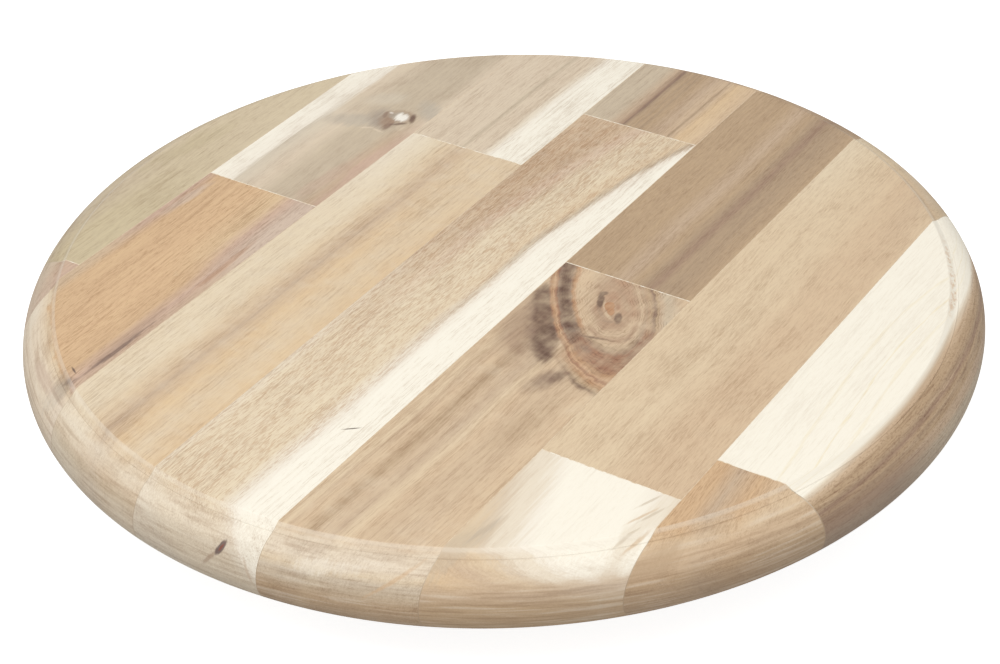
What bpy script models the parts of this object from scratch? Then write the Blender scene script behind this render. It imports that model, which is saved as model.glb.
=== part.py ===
"""A lazy susan: a round board of glued staves that turns on a ball bearing above a wooden base.

Metres, +Z up. The staves run along Y, the board turns about Z, and the rubber feet stand on Z = 0.
"""

import math

import bmesh
import bpy

MM = 0.001

# Pieces that touch keep this gap, so that no two solids share a face.
SEAT_GAP = 0.2 * MM
GLUE_GAP = 0.2 * MM

# The board: a flat top, a small step down, a large rounded edge and a smaller round below it.
BOARD_R = 195 * MM
BOARD_T = 30 * MM
RIM_W = 14.8 * MM
STEP_H = 2.2 * MM
UPPER_ROUND_H = 15.6 * MM
LOWER_ROUND_W = 12.2 * MM

# The lay-up: one joint beside the middle row, and the others a stave's width apart on both sides.
STAVE_W = 57.4 * MM
MIDDLE_JOINT_X = 23.5 * MM
ROWS_LEFT_OF_JOINT = 4
# The near stave of each row, measured along its longer edge from the board's near rim.
NEAR_STAVE_LENGTHS = [
    37.1 * MM,
    168.7 * MM,
    261.2 * MM,
    316.3 * MM,
    206.2 * MM,
    79.9 * MM,
    66.4 * MM,
]

# The base: a turned wooden ring on rubber feet.
BASE_R = 135 * MM
BASE_T = 12 * MM
BASE_ROUND = 3 * MM
BASE_BORE_ROUND = 1 * MM

FOOT_R = 9 * MM
FOOT_PROUD = 3 * MM
FOOT_SUNK = 1.5 * MM
FOOT_ROUND = 1.2 * MM
FOOT_EDGE = 8 * MM
FOOT_FIT = 0.3 * MM
FEET = 4
FEET_TURN = 45

# The bearing: two formed steel plates with a race in each, and a plastic cage of steel balls.
RACE_R = 80 * MM
RACE_LAND = 8 * MM
SHEET_T = 1.2 * MM
BALL_R = 2.5 * MM
BALL_FIT = 0.2 * MM
RACE_DEPTH = 1.2 * MM
BALLS = 12
LIP_FIT = 0.5 * MM
LIP_REACH = 1.6 * MM
BUMP_CLEAR = 0.4 * MM
LOWER_FLANGE_W = 14 * MM
UPPER_FLANGE_W = 17 * MM
PLATE_SETBACK = 1.8 * MM
FLANGE_REACH = 4 * MM

CAGE_W = 9 * MM
CAGE_T = 1.4 * MM
CAGE_POCKET_FIT = 0.3 * MM

# The screws: pan heads with a cross recess.
SHANK_R = 1.75 * MM
HEAD_R = 3.3 * MM
HEAD_H = 2 * MM
TIP_H = 2.5 * MM
BOARD_SCREW_L = 14 * MM
BASE_SCREW_L = 10 * MM
SCREW_HOLE_FIT = 0.35 * MM
PILOT_SPARE = 0.5 * MM
RECESS_W = 0.9 * MM
RECESS_SPAN = 3.4 * MM
RECESS_DEPTH = 1.1 * MM
SCREWS_PER_PLATE = 4
BASE_SCREWS_TURN = 45

# Facets in a full turn.
BOARD_FACETS = 96
BASE_FACETS = 72
PLATE_FACETS = 60
FOOT_FACETS = 20
SCREW_FACETS = 12
HOLE_FACETS = 16
BALL_FACETS = 12

# How far a cutter runs past what it cuts.
CUT_OVER = 2 * MM

# Heights, from the floor up.
BASE_TOP = FOOT_PROUD + BASE_T
LIP_LOW = BASE_TOP + LIP_FIT
LOWER_LAND_LOW = LIP_LOW + SHEET_T + LIP_FIT
RACE_INNER_R = BALL_R + BALL_FIT
PLATE_GAP = 2 * (RACE_INNER_R - RACE_DEPTH)
BALL_Z = LOWER_LAND_LOW + SHEET_T + PLATE_GAP / 2
BOARD_LOW = BALL_Z + RACE_INNER_R + SHEET_T + BUMP_CLEAR
BOARD_TOP = BOARD_LOW + BOARD_T

# Heights of the middle of each sheet.
LOWER_FLANGE_MID = BASE_TOP + SEAT_GAP + SHEET_T / 2
LOWER_LAND_MID = LOWER_LAND_LOW + SHEET_T / 2
UPPER_LAND_MID = BALL_Z + PLATE_GAP / 2 + SHEET_T / 2
UPPER_FLANGE_MID = BOARD_LOW - SEAT_GAP - SHEET_T / 2
LIP_MID = LIP_LOW + SHEET_T / 2

# Radii of the bearing, worked inwards and outwards from the race.
LOWER_RISE = LOWER_LAND_MID - LOWER_FLANGE_MID
UPPER_RISE = UPPER_FLANGE_MID - UPPER_LAND_MID
LOWER_EDGE_R = RACE_R + RACE_LAND
LOWER_FLANGE_OUT = RACE_R - RACE_LAND - LOWER_RISE
LOWER_FLANGE_IN = LOWER_FLANGE_OUT - LOWER_FLANGE_W
BASE_BORE_R = LOWER_FLANGE_IN - PLATE_SETBACK
UPPER_FLANGE_OUT = BASE_BORE_R - FLANGE_REACH
UPPER_FLANGE_IN = UPPER_FLANGE_OUT - UPPER_FLANGE_W
LIP_R = LOWER_EDGE_R + LIP_FIT + SHEET_T / 2

BOARD_SCREWS_R = (UPPER_FLANGE_IN + UPPER_FLANGE_OUT) / 2
BASE_SCREWS_R = (LOWER_FLANGE_IN + LOWER_FLANGE_OUT) / 2
FEET_R = BASE_R - FOOT_EDGE - FOOT_R

WOODS = {
    "olive": (0.47, 0.40, 0.26),
    "cream": (0.80, 0.71, 0.54),
    "tan": (0.56, 0.38, 0.23),
    "brown": (0.42, 0.28, 0.17),
}
STAVE_WOODS = [
    ("brown", "olive"),
    ("tan", "tan"),
    ("tan", "olive"),
    ("tan", "tan"),
    ("brown", "brown"),
    ("cream", "tan"),
    ("brown", "cream"),
]


def clear_scene():
    for obj in list(bpy.data.objects):
        bpy.data.objects.remove(obj)


def new_collection(name):
    collection = bpy.data.collections.new(name)
    bpy.context.scene.collection.children.link(collection)
    return collection


def new_material(name, colour, roughness, metallic=0.0):
    material = bpy.data.materials.new(name)
    material.use_nodes = True
    shader = material.node_tree.nodes["Principled BSDF"]
    shader.inputs["Base Color"].default_value = (*colour, 1)
    shader.inputs["Roughness"].default_value = roughness
    shader.inputs["Metallic"].default_value = metallic
    return material


def new_object(name, mesh, location=(0, 0, 0)):
    obj = bpy.data.objects.new(name, mesh)
    obj.location = location
    return obj


def new_axis(name):
    """An empty on the turning axis, which carries everything that turns with it."""
    axis = bpy.data.objects.new(name, None)
    axis.empty_display_size = RACE_R
    parts.objects.link(axis)
    return axis


def add_part(obj, material, parent=None):
    parts.objects.link(obj)
    obj.data.materials.clear()
    obj.data.materials.append(material)
    obj.parent = parent
    return obj


def add_cutter(obj):
    cutters.objects.link(obj)
    obj.hide_render = True
    obj.display_type = "WIRE"
    return obj


def cut(obj, cutter, operation="DIFFERENCE"):
    modifier = obj.modifiers.new(cutter.name, "BOOLEAN")
    modifier.operation = operation
    modifier.solver = "EXACT"
    modifier.object = cutter


def arc(centre_r, centre_z, width, height, start, end, steps):
    """Points on an elliptical arc; 0 degrees points outwards and 90 points up."""
    angles = [math.radians(start + (end - start) * i / steps) for i in range(steps + 1)]
    return [(centre_r + width * math.cos(a), centre_z + height * math.sin(a)) for a in angles]


def around(count, radius, turn=0):
    """Evenly spaced places on a circle, as (number, x, y)."""
    for i in range(count):
        angle = math.radians(turn + 360 * i / count)
        yield i + 1, radius * math.cos(angle), radius * math.sin(angle)


def outline_mesh(name, points, closed):
    """A profile in the XZ plane, ready for a Screw modifier."""
    mesh = bpy.data.meshes.new(name)
    bm = bmesh.new()
    verts = [bm.verts.new((r, 0, z)) for r, z in points]
    for start, end in zip(verts, verts[1:]):
        bm.edges.new((start, end))
    if closed:
        bm.edges.new((verts[-1], verts[0]))
    bm.to_mesh(mesh)
    bm.free()
    return mesh


def turn(obj, facets):
    screw = obj.modifiers.new("turned", "SCREW")
    screw.angle = math.tau
    screw.steps = facets
    screw.render_steps = facets
    screw.use_merge_vertices = True
    screw.merge_threshold = 0.00001
    screw.use_smooth_shade = False


def turned(name, points, facets, closed=False, location=(0, 0, 0)):
    """A turned solid: its profile runs outwards along the top, down the outside and back in."""
    obj = new_object(name, outline_mesh(name, points, closed), location)
    turn(obj, facets)
    return obj


def formed_plate(name, points):
    """A round plate of pressed sheet: the profile is the middle of the sheet."""
    obj = new_object(name, outline_mesh(name, points, closed=False))
    turn(obj, PLATE_FACETS)
    sheet = obj.modifiers.new("sheet", "SOLIDIFY")
    sheet.thickness = SHEET_T
    sheet.offset = 0
    sheet.use_even_offset = True
    return obj


def box(name, low, high):
    """A box between two corners, with its origin at its centre."""
    mesh = bpy.data.meshes.new(name)
    bm = bmesh.new()
    bmesh.ops.create_cube(bm, size=1)
    size = [b - a for a, b in zip(low, high)]
    bmesh.ops.scale(bm, vec=size, verts=bm.verts)
    bm.to_mesh(mesh)
    bm.free()
    return new_object(name, mesh, [(a + b) / 2 for a, b in zip(low, high)])


def drill(obj, name, x, y, low, high, radius, facets=HOLE_FACETS):
    """Cuts a round hole along Z."""
    mesh = bpy.data.meshes.new(name)
    bm = bmesh.new()
    bmesh.ops.create_cone(
        bm,
        cap_ends=True,
        segments=facets,
        radius1=radius,
        radius2=radius,
        depth=high - low,
    )
    bm.to_mesh(mesh)
    bm.free()
    cut(obj, add_cutter(new_object(name, mesh, (x, y, (low + high) / 2))))


def board_blank():
    """The whole turned board with its pilot holes, which every stave is cut from."""
    step_r = BOARD_R - RIM_W
    round_z = BOARD_TOP - STEP_H - UPPER_ROUND_H
    profile = [(0, BOARD_TOP), (step_r, BOARD_TOP)]
    profile += arc(step_r, round_z, RIM_W, UPPER_ROUND_H, 90, 0, 6)
    lower = arc(BOARD_R - LOWER_ROUND_W, round_z, LOWER_ROUND_W, round_z - BOARD_LOW, 0, -90, 5)
    profile += lower[1:]
    profile.append((0, BOARD_LOW))
    blank = add_cutter(turned("board_blank", profile, BOARD_FACETS))
    pilot_top = UPPER_FLANGE_MID - SHEET_T / 2 - SEAT_GAP + BOARD_SCREW_L + PILOT_SPARE
    for number, x, y in around(SCREWS_PER_PLATE, BOARD_SCREWS_R):
        radius = SHANK_R + SCREW_HOLE_FIT
        drill(blank, f"board_pilot_{number}", x, y, BOARD_LOW - CUT_OVER, pilot_top, radius)
    return blank


def build_staves(axis):
    """Two staves to a row, near and far, each cut from the board's blank by its own box."""
    blank = board_blank()
    outside = BOARD_R + CUT_OVER
    rows = len(NEAR_STAVE_LENGTHS)
    joints = [MIDDLE_JOINT_X + STAVE_W * (k - ROWS_LEFT_OF_JOINT) for k in range(1, rows)]
    lefts = [-outside] + [x + GLUE_GAP / 2 for x in joints]
    rights = [x - GLUE_GAP / 2 for x in joints] + [outside]
    low_z = BOARD_LOW - CUT_OVER
    high_z = BOARD_TOP + CUT_OVER
    for row, near_length in enumerate(NEAR_STAVE_LENGTHS):
        left = lefts[row]
        right = rights[row]
        # The row is longest where it comes closest to the board's centre line.
        closest_x = 0 if left < 0 < right else min(abs(left), abs(right))
        butt_y = near_length - math.sqrt(BOARD_R**2 - closest_x**2)
        near_low = (left, -outside, low_z)
        near_high = (right, butt_y - GLUE_GAP / 2, high_z)
        far_low = (left, butt_y + GLUE_GAP / 2, low_z)
        far_high = (right, outside, high_z)
        near_wood, far_wood = STAVE_WOODS[row]
        near = box(f"stave_{row + 1}_near", near_low, near_high)
        far = box(f"stave_{row + 1}_far", far_low, far_high)
        for stave, wood in ((near, near_wood), (far, far_wood)):
            cut(stave, blank, "INTERSECT")
            add_part(stave, stave_materials[wood], axis)


def build_base():
    """The base ring, with a pocket for each foot and a pilot hole for each plate screw."""
    low = FOOT_PROUD
    edge = BASE_R - BASE_ROUND
    bore = BASE_BORE_R + BASE_BORE_ROUND
    profile = arc(edge, BASE_TOP - BASE_ROUND, BASE_ROUND, BASE_ROUND, 90, 0, 3)
    profile += arc(edge, low + BASE_ROUND, BASE_ROUND, BASE_ROUND, 0, -90, 3)
    profile += [(bore, low), (BASE_BORE_R, low + BASE_BORE_ROUND)]
    profile += [(BASE_BORE_R, BASE_TOP - BASE_BORE_ROUND), (bore, BASE_TOP)]
    base = turned("base_ring", profile, BASE_FACETS, closed=True)
    for number, x, y in around(FEET, FEET_R, FEET_TURN):
        name = f"foot_pocket_{number}"
        radius = FOOT_R + FOOT_FIT
        drill(base, name, x, y, low - CUT_OVER, low + FOOT_SUNK, radius, FOOT_FACETS)
    screw_seat = LOWER_FLANGE_MID + SHEET_T / 2 + SEAT_GAP
    pilot_low = screw_seat - BASE_SCREW_L - PILOT_SPARE
    for number, x, y in around(SCREWS_PER_PLATE, BASE_SCREWS_R, BASE_SCREWS_TURN):
        radius = SHANK_R + SCREW_HOLE_FIT
        drill(base, f"base_pilot_{number}", x, y, pilot_low, BASE_TOP + CUT_OVER, radius)
    add_part(base, new_material("base_wood", WOODS["tan"], 0.5))


def build_feet():
    rubber = new_material("foot_rubber", (0.04, 0.04, 0.04), 0.8)
    top = FOOT_PROUD + FOOT_SUNK - SEAT_GAP
    profile = [(0, top), (FOOT_R, top)]
    profile += arc(FOOT_R - FOOT_ROUND, FOOT_ROUND, FOOT_ROUND, FOOT_ROUND, 0, -90, 3)
    profile.append((0, 0))
    for number, x, y in around(FEET, FEET_R, FEET_TURN):
        add_part(turned(f"rubber_foot_{number}", profile, FOOT_FACETS, location=(x, y, 0)), rubber)


def race(mid_z, side):
    """The race pressed into a sheet, bulging away from the balls: side is 1 above, -1 below."""
    radius = RACE_INNER_R + SHEET_T / 2
    half = math.degrees(math.acos(abs(mid_z - BALL_Z) / radius))
    return arc(RACE_R, BALL_Z, radius, radius, side * (90 + half), side * (90 - half), 5)


def drill_plate(plate, radius, turn_deg, low, high):
    for number, x, y in around(SCREWS_PER_PLATE, radius, turn_deg):
        hole_r = SHANK_R + SCREW_HOLE_FIT
        drill(plate, f"{plate.name}_hole_{number}", x, y, low, high, hole_r)


def build_plates(axis):
    """The lower plate is screwed to the base and the upper one to the board; a lip joins them."""
    lower_profile = [
        (LOWER_FLANGE_IN, LOWER_FLANGE_MID),
        (LOWER_FLANGE_OUT, LOWER_FLANGE_MID),
        (LOWER_FLANGE_OUT + LOWER_RISE, LOWER_LAND_MID),
    ]
    lower_profile += race(LOWER_LAND_MID, -1)
    lower_profile.append((LOWER_EDGE_R, LOWER_LAND_MID))
    lower = formed_plate("lower_plate", lower_profile)
    hole_high = LOWER_LAND_LOW + CUT_OVER
    drill_plate(lower, BASE_SCREWS_R, BASE_SCREWS_TURN, BASE_TOP - CUT_OVER, hole_high)

    bend = SHEET_T
    lip_turn = LIP_R - bend
    upper_profile = [
        (UPPER_FLANGE_IN, UPPER_FLANGE_MID),
        (UPPER_FLANGE_OUT, UPPER_FLANGE_MID),
        (UPPER_FLANGE_OUT + UPPER_RISE, UPPER_LAND_MID),
    ]
    upper_profile += race(UPPER_LAND_MID, 1)
    upper_profile += arc(lip_turn, UPPER_LAND_MID - bend, bend, bend, 90, 0, 2)
    upper_profile += arc(lip_turn, LIP_MID + bend, bend, bend, 0, -90, 2)
    upper_profile.append((lip_turn - LIP_REACH, LIP_MID))
    upper = formed_plate("upper_plate", upper_profile)
    drill_plate(upper, BOARD_SCREWS_R, 0, UPPER_LAND_MID, BOARD_LOW + CUT_OVER)

    steel = new_material("plated_steel", (0.62, 0.62, 0.60), 0.32, 1.0)
    add_part(lower, steel)
    add_part(upper, steel, axis)


def build_cage(axis):
    """The cage and its balls, which go round at half the board's speed."""
    outer = RACE_R + CAGE_W / 2
    inner = RACE_R - CAGE_W / 2
    high = BALL_Z + CAGE_T / 2
    low = BALL_Z - CAGE_T / 2
    profile = [(outer, high), (outer, low), (inner, low), (inner, high)]
    cage = turned("ball_cage", profile, PLATE_FACETS, closed=True)
    ball_mesh = bpy.data.meshes.new("bearing_ball")
    bm = bmesh.new()
    rings = BALL_FACETS * 2 // 3
    bmesh.ops.create_uvsphere(bm, u_segments=BALL_FACETS, v_segments=rings, radius=BALL_R)
    bm.to_mesh(ball_mesh)
    bm.free()
    steel = new_material("ball_steel", (0.75, 0.75, 0.75), 0.12, 1.0)
    for number, x, y in around(BALLS, RACE_R):
        pocket_r = BALL_R + CAGE_POCKET_FIT
        drill(cage, f"cage_pocket_{number}", x, y, low - CUT_OVER, high + CUT_OVER, pocket_r)
        add_part(new_object(f"bearing_ball_{number:02d}", ball_mesh, (x, y, BALL_Z)), steel, axis)
    add_part(cage, new_material("cage_plastic", (0.80, 0.80, 0.76), 0.45), axis)


def screw_mesh(name, length):
    """A screw that points down, with the underside of its head at Z = 0."""
    dome = arc(0, HEAD_H / 2, HEAD_R, HEAD_H / 2, 90, 0, 3)
    profile = dome + [(HEAD_R, 0), (SHANK_R, 0), (SHANK_R, TIP_H - length), (0, -length)]
    screw = turned(name, profile, SCREW_FACETS)
    for axis in ("x", "y"):
        half_x = RECESS_SPAN / 2 if axis == "x" else RECESS_W / 2
        half_y = RECESS_W / 2 if axis == "x" else RECESS_SPAN / 2
        low = (-half_x, -half_y, HEAD_H - RECESS_DEPTH)
        high = (half_x, half_y, HEAD_H + CUT_OVER)
        cut(screw, add_cutter(box(f"{name}_recess_{axis}", low, high)))
    add_cutter(screw)
    bpy.context.view_layer.update()
    graph = bpy.context.evaluated_depsgraph_get()
    mesh = bpy.data.meshes.new_from_object(screw.evaluated_get(graph))
    mesh.name = name
    return mesh


def build_screws(axis):
    steel = new_material("screw_steel", (0.70, 0.69, 0.66), 0.28, 1.0)
    up_mesh = screw_mesh("board_screw", BOARD_SCREW_L)
    down_mesh = screw_mesh("base_screw", BASE_SCREW_L)
    head_low = UPPER_FLANGE_MID - SHEET_T / 2 - SEAT_GAP
    for number, x, y in around(SCREWS_PER_PLATE, BOARD_SCREWS_R):
        screw = new_object(f"board_screw_{number}", up_mesh, (x, y, head_low))
        screw.rotation_euler = (math.pi, 0, 0)
        add_part(screw, steel, axis)
    head_high = LOWER_FLANGE_MID + SHEET_T / 2 + SEAT_GAP
    for number, x, y in around(SCREWS_PER_PLATE, BASE_SCREWS_R, BASE_SCREWS_TURN):
        add_part(new_object(f"base_screw_{number}", down_mesh, (x, y, head_high)), steel)


clear_scene()
parts = new_collection("lazy_susan_turntable")
cutters = new_collection("cutters")
stave_materials = {}
for wood, colour in WOODS.items():
    stave_materials[wood] = new_material(f"acacia_{wood}", colour, 0.45)

turntable_axis = new_axis("turntable_axis")
cage_axis = new_axis("cage_axis")
build_staves(turntable_axis)
build_plates(turntable_axis)
build_cage(cage_axis)
build_base()
build_feet()
build_screws(turntable_axis)
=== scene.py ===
# %% [markdown]
# # A lazy susan of glued acacia staves
# This lesson dresses a finished engineering model, the frame, with visible pieces and wood.
# The frame already says where each piece is and how it turns, so every size that it knows is
# read from it. The rest is the turner's work: the shape of the rim, the joints and the timber.

# %% Load the frame
import math

import bmesh
import bpy
from mathutils import Matrix, Vector


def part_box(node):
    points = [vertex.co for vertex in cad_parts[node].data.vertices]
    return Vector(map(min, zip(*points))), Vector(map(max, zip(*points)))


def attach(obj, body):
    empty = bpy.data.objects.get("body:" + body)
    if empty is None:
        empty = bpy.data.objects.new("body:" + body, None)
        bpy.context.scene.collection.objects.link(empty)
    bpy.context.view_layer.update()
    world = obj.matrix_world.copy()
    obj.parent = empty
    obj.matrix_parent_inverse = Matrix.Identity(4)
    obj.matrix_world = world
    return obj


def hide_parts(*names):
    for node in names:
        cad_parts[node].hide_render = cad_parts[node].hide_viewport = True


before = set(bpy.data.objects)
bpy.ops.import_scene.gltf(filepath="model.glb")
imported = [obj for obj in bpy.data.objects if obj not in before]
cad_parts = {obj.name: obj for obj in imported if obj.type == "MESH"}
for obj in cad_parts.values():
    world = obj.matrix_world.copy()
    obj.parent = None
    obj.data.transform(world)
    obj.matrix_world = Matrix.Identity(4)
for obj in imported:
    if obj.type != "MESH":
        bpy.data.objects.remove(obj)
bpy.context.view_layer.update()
MM = 0.001

# %% [markdown]
# ## Camera
# A long lens from a little above, as for a catalogue, keeps the round board close to a true
# ellipse. The camera's axes are built from three angles, so that each can be changed alone.

# %% Place the camera
TURN = math.radians(34.354)
ELEVATION = math.radians(34.64)
ROLL = math.radians(-2.4)
DISTANCE = 909.7 * MM
AIM_BELOW = 28.9 * MM
AIM_LEFT = 0.26 * MM
SENSOR = 36
FOCAL_LENGTH = 80.48
NEAREST = 10 * MM

stave_names = sorted(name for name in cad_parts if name.startswith("stave_"))
stave_boxes = {name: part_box(name) for name in stave_names}
board_top = max(high.z for low, high in stave_boxes.values())
board_low = min(low.z for low, high in stave_boxes.values())
board_r = max(high.y for low, high in stave_boxes.values())

level = Vector((math.cos(TURN), math.sin(TURN), 0))
back = Vector((math.sin(TURN), -math.cos(TURN), 0)) * math.cos(ELEVATION)
back.z = math.sin(ELEVATION)
upright = back.cross(level)
across_view = level * math.cos(ROLL) + upright * math.sin(ROLL)
up_view = upright * math.cos(ROLL) - level * math.sin(ROLL)
aim = Vector((0, 0, board_top)) - across_view * AIM_LEFT - up_view * AIM_BELOW
lens = bpy.data.cameras.new("catalogue_lens")
lens.sensor_width = SENSOR
lens.lens = FOCAL_LENGTH
lens.clip_start = NEAREST
camera = bpy.data.objects.new("camera", lens)
place = Matrix((across_view, up_view, back)).transposed().to_4x4()
camera.matrix_world = Matrix.Translation(aim + back * DISTANCE) @ place
bpy.context.scene.collection.objects.link(camera)
bpy.context.scene.camera = camera
bpy.context.scene.view_settings.view_transform = "Standard"
print("camera at", [round(c, 3) for c in camera.matrix_world.translation])

# %% [markdown]
# ## Light
# Pale wood on a white ground wants soft light from every side. A plain sky gives the even part.
# One wide lamp stands high above the viewer, so the face and the shoulder of the rim are bright
# and the rim falls into a soft shade towards its underside.

# %% Light the scene
SKY = 0.60
LAMP_WATTS = 19
LAMP_SIZE = 1.1
LAMP_DISTANCE = 2.0
LAMP_HEIGHT = math.radians(66)
LAMP_SIDE = math.radians(-22)
SKY_COLOUR = (1.0, 0.998, 0.99, 1)

world = bpy.data.worlds.new("studio")
world.use_nodes = True
background = world.node_tree.nodes["Background"]
background.inputs["Color"].default_value = SKY_COLOUR
background.inputs["Strength"].default_value = SKY
bpy.context.scene.world = world

lamp = bpy.data.lights.new("high_lamp", "AREA")
lamp.shape = "DISK"
lamp.size = LAMP_SIZE
lamp.energy = LAMP_WATTS
lamp_object = bpy.data.objects.new("high_lamp", lamp)
bearing = TURN + LAMP_SIDE
lamp_way = Vector((math.sin(bearing), -math.cos(bearing), 0)) * math.cos(LAMP_HEIGHT)
lamp_way.z = math.sin(LAMP_HEIGHT)
lamp_object.location = lamp_way * LAMP_DISTANCE
lamp_object.rotation_euler = (-lamp_way).to_track_quat("-Z", "Y").to_euler()
bpy.context.scene.collection.objects.link(lamp_object)
print("sky", SKY, "and one lamp of", LAMP_WATTS, "W")

# %% [markdown]
# ## Short ways to build node trees
# Materials and Geometry Nodes are both made of nodes and links. Small helpers keep the recipes
# below readable: some add a node and fill its inputs, some do arithmetic, and some make a group
# that can be used again with other values.

# %% Node helpers
FLOAT, VECTOR = "NodeSocketFloat", "NodeSocketVector"
SOCKET_KINDS = {float: FLOAT, int: "NodeSocketInt", type(None): VECTOR}


def fill(tree, node, inputs):
    """Fills a node's inputs: another node's output is linked, and a plain value is set."""
    for key, value in inputs.items():
        if isinstance(value, bpy.types.NodeSocket):
            tree.links.new(value, node.inputs[key])
        else:
            node.inputs[key].default_value = value


def add(tree, kind, inputs=None, **settings):
    node = tree.nodes.new(kind)
    for key, value in settings.items():
        setattr(node, key, value)
    fill(tree, node, inputs or {})
    return node


def calc(tree, operation, *values):
    return add(tree, "ShaderNodeMath", dict(enumerate(values)), operation=operation).outputs[0]


def chain(operation):
    """Sums and the like over any number of values, with one node for each step."""

    def run(tree, first, *others):
        for other in others:
            first = calc(tree, operation, first, other)
        return first

    return run


plus, minus, times, ratio = (chain(name) for name in ("ADD", "SUBTRACT", "MULTIPLY", "DIVIDE"))


def vector_calc(tree, operation, *values):
    inputs = dict(enumerate(values))
    return add(tree, "ShaderNodeVectorMath", inputs, operation=operation).outputs[0]


def xyz(tree, x=0.0, y=0.0, z=0.0):
    return add(tree, "ShaderNodeCombineXYZ", {0: x, 1: y, 2: z}).outputs[0]


def split_up(tree, vector):
    """A vector's three numbers, as outputs named X, Y and Z."""
    return add(tree, "ShaderNodeSeparateXYZ", {0: vector}).outputs


def length_of(tree, x, y):
    return calc(tree, "SQRT", plus(tree, times(tree, x, x), times(tree, y, y)))


def millimetres_here(tree):
    """The piece's own position, in millimetres."""
    here = add(tree, "ShaderNodeTexCoord").outputs["Object"]
    return vector_calc(tree, "MULTIPLY", here, (1000, 1000, 1000))


def fade(tree, value, start, end, low=0.0, high=1.0):
    """Goes smoothly from low to high while value goes from start to end."""
    inputs = {0: value, 1: start, 2: end, 3: low, 4: high}
    return add(tree, "ShaderNodeMapRange", inputs, interpolation_type="SMOOTHSTEP").outputs[0]


def blend(tree, share, under, over, mode="MIX"):
    inputs = {0: share, 6: under, 7: over}
    node = add(tree, "ShaderNodeMix", inputs, data_type="RGBA", blend_type=mode, clamp_result=True)
    return node.outputs[2]


def noise(tree, position, size, detail=2.0, rough=0.5):
    """Noise from 0 to 1, with lumps about as large as size, which is in millimetres."""
    scaled = vector_calc(tree, "DIVIDE", position, size)
    inputs = {"Vector": scaled, "Scale": 1.0, "Detail": detail, "Roughness": rough}
    return add(tree, "ShaderNodeTexNoise", inputs).outputs["Fac"]


def new_group(name, inputs, outputs, kind="ShaderNodeTree"):
    """An empty group. An input is given by its value, or by its kind where it has none."""
    group = bpy.data.node_groups.new(name, kind)
    for socket, value in inputs.items():
        named = isinstance(value, str)
        socket_kind = value if named else SOCKET_KINDS[type(value)]
        made = group.interface.new_socket(socket, in_out="INPUT", socket_type=socket_kind)
        if not named and value is not None:
            made.default_value = value
    for socket, socket_kind in outputs.items():
        group.interface.new_socket(socket, in_out="OUTPUT", socket_type=socket_kind)
    given = group.nodes.new("NodeGroupInput")
    result = group.nodes.new("NodeGroupOutput")
    return group, given.outputs, result.inputs


def give(tree, result, **values):
    """Links a group's results."""
    for key, value in values.items():
        tree.links.new(value, result[key.replace("_", " ")])


def use(tree, group, **inputs):
    """Places a group in a material, with its own values, and returns its outputs."""
    node = add(tree, "ShaderNodeGroup", node_tree=group)
    fill(tree, node, {key.replace("_", " "): value for key, value in inputs.items()})
    return node.outputs


def new_material(name):
    material = bpy.data.materials.new(name)
    material.use_nodes = True
    return material, material.node_tree, material.node_tree.nodes["Principled BSDF"]


def bumps(tree, strength, distance, height):
    inputs = {"Strength": strength, "Distance": distance, "Height": height}
    return add(tree, "ShaderNodeBump", inputs).outputs[0]


# %% [markdown]
# ## The tones of the timber
# Acacia runs from cream sapwood to brown heartwood, with olive, grey and rosy tones between.
# A joiner would lay out offcuts and name them, so the tones here are named too, and each
# stave is described by the names of the tones that cross it.

# %% Name the tones
TONES = {
    "cream": "FAF3E3", "ivory": "F4EBDB", "bone": "EADDC8", "straw": "E4D2B5", "sand": "DEC7A7",
    "honey": "DCBF99", "apricot": "D9B68F", "tan": "D3B18B", "biscuit": "CFB597",
    "fawn": "C6AD92", "greige": "C9B8A0", "ash": "D3C6B2", "olive": "CCBC9B", "khaki": "C1B190",
    "rose": "CDAF9A", "lilac": "D2BCA9", "brown": "BA9F80", "cocoa": "AF967B",
    "umber": "A48872", "walnut": "8B7161", "plum": "6E5A55", "rust": "B5825C", "ink": "5B4A44",
    "resin": "C98F4E", "blush": "B79378", "dusk": "B3947A", "bark": "63463A",
    "russet": "9C6E55", "clay": "B28763", "fog": "C0B4A3", "smoke": "A99A8B",
    # The first tone on this line paints a highlight on the resin knot, not a colour of the wood.
    "painted_highlight": "F9F3E8", "oat": "D6BB9B", "putty": "DCCAB2", "wheat": "DCC4AB",
    "cherry": "8E5546", "moss": "D2C1A4", "copper": "C8A07E", "lemon": "F4E8CC",
}  # fmt: skip


def tone(name):
    """The linear colour that a renderer wants, from the name of a tone."""
    values = [int(TONES[name][i : i + 2], 16) / 255 for i in (0, 2, 4)]
    return (*[((v + 0.055) / 1.055) ** 2.4 for v in values], 1)


def tone_ramp(tree, value, tones, span):
    """A ColorRamp from tones placed in millimetres along span."""
    node = add(tree, "ShaderNodeValToRGB", {0: ratio(tree, value, span)})
    elements = node.color_ramp.elements
    for number, (place, name) in enumerate(tones.items()):
        if number < 2:
            element = elements[number]
            element.position = place / span
        else:
            element = elements.new(place / span)
        element.color = tone(name)
    return node.outputs[0]


# %% [markdown]
# ## Where a point is on the board
# All staves share one set of measures, taken in millimetres from the piece's own position: how
# deep a point lies under the board's face, how far it is from the middle, and how squarely the
# rim cuts across the grain there. Wood is solid, so its pattern uses depth as well.

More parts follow.
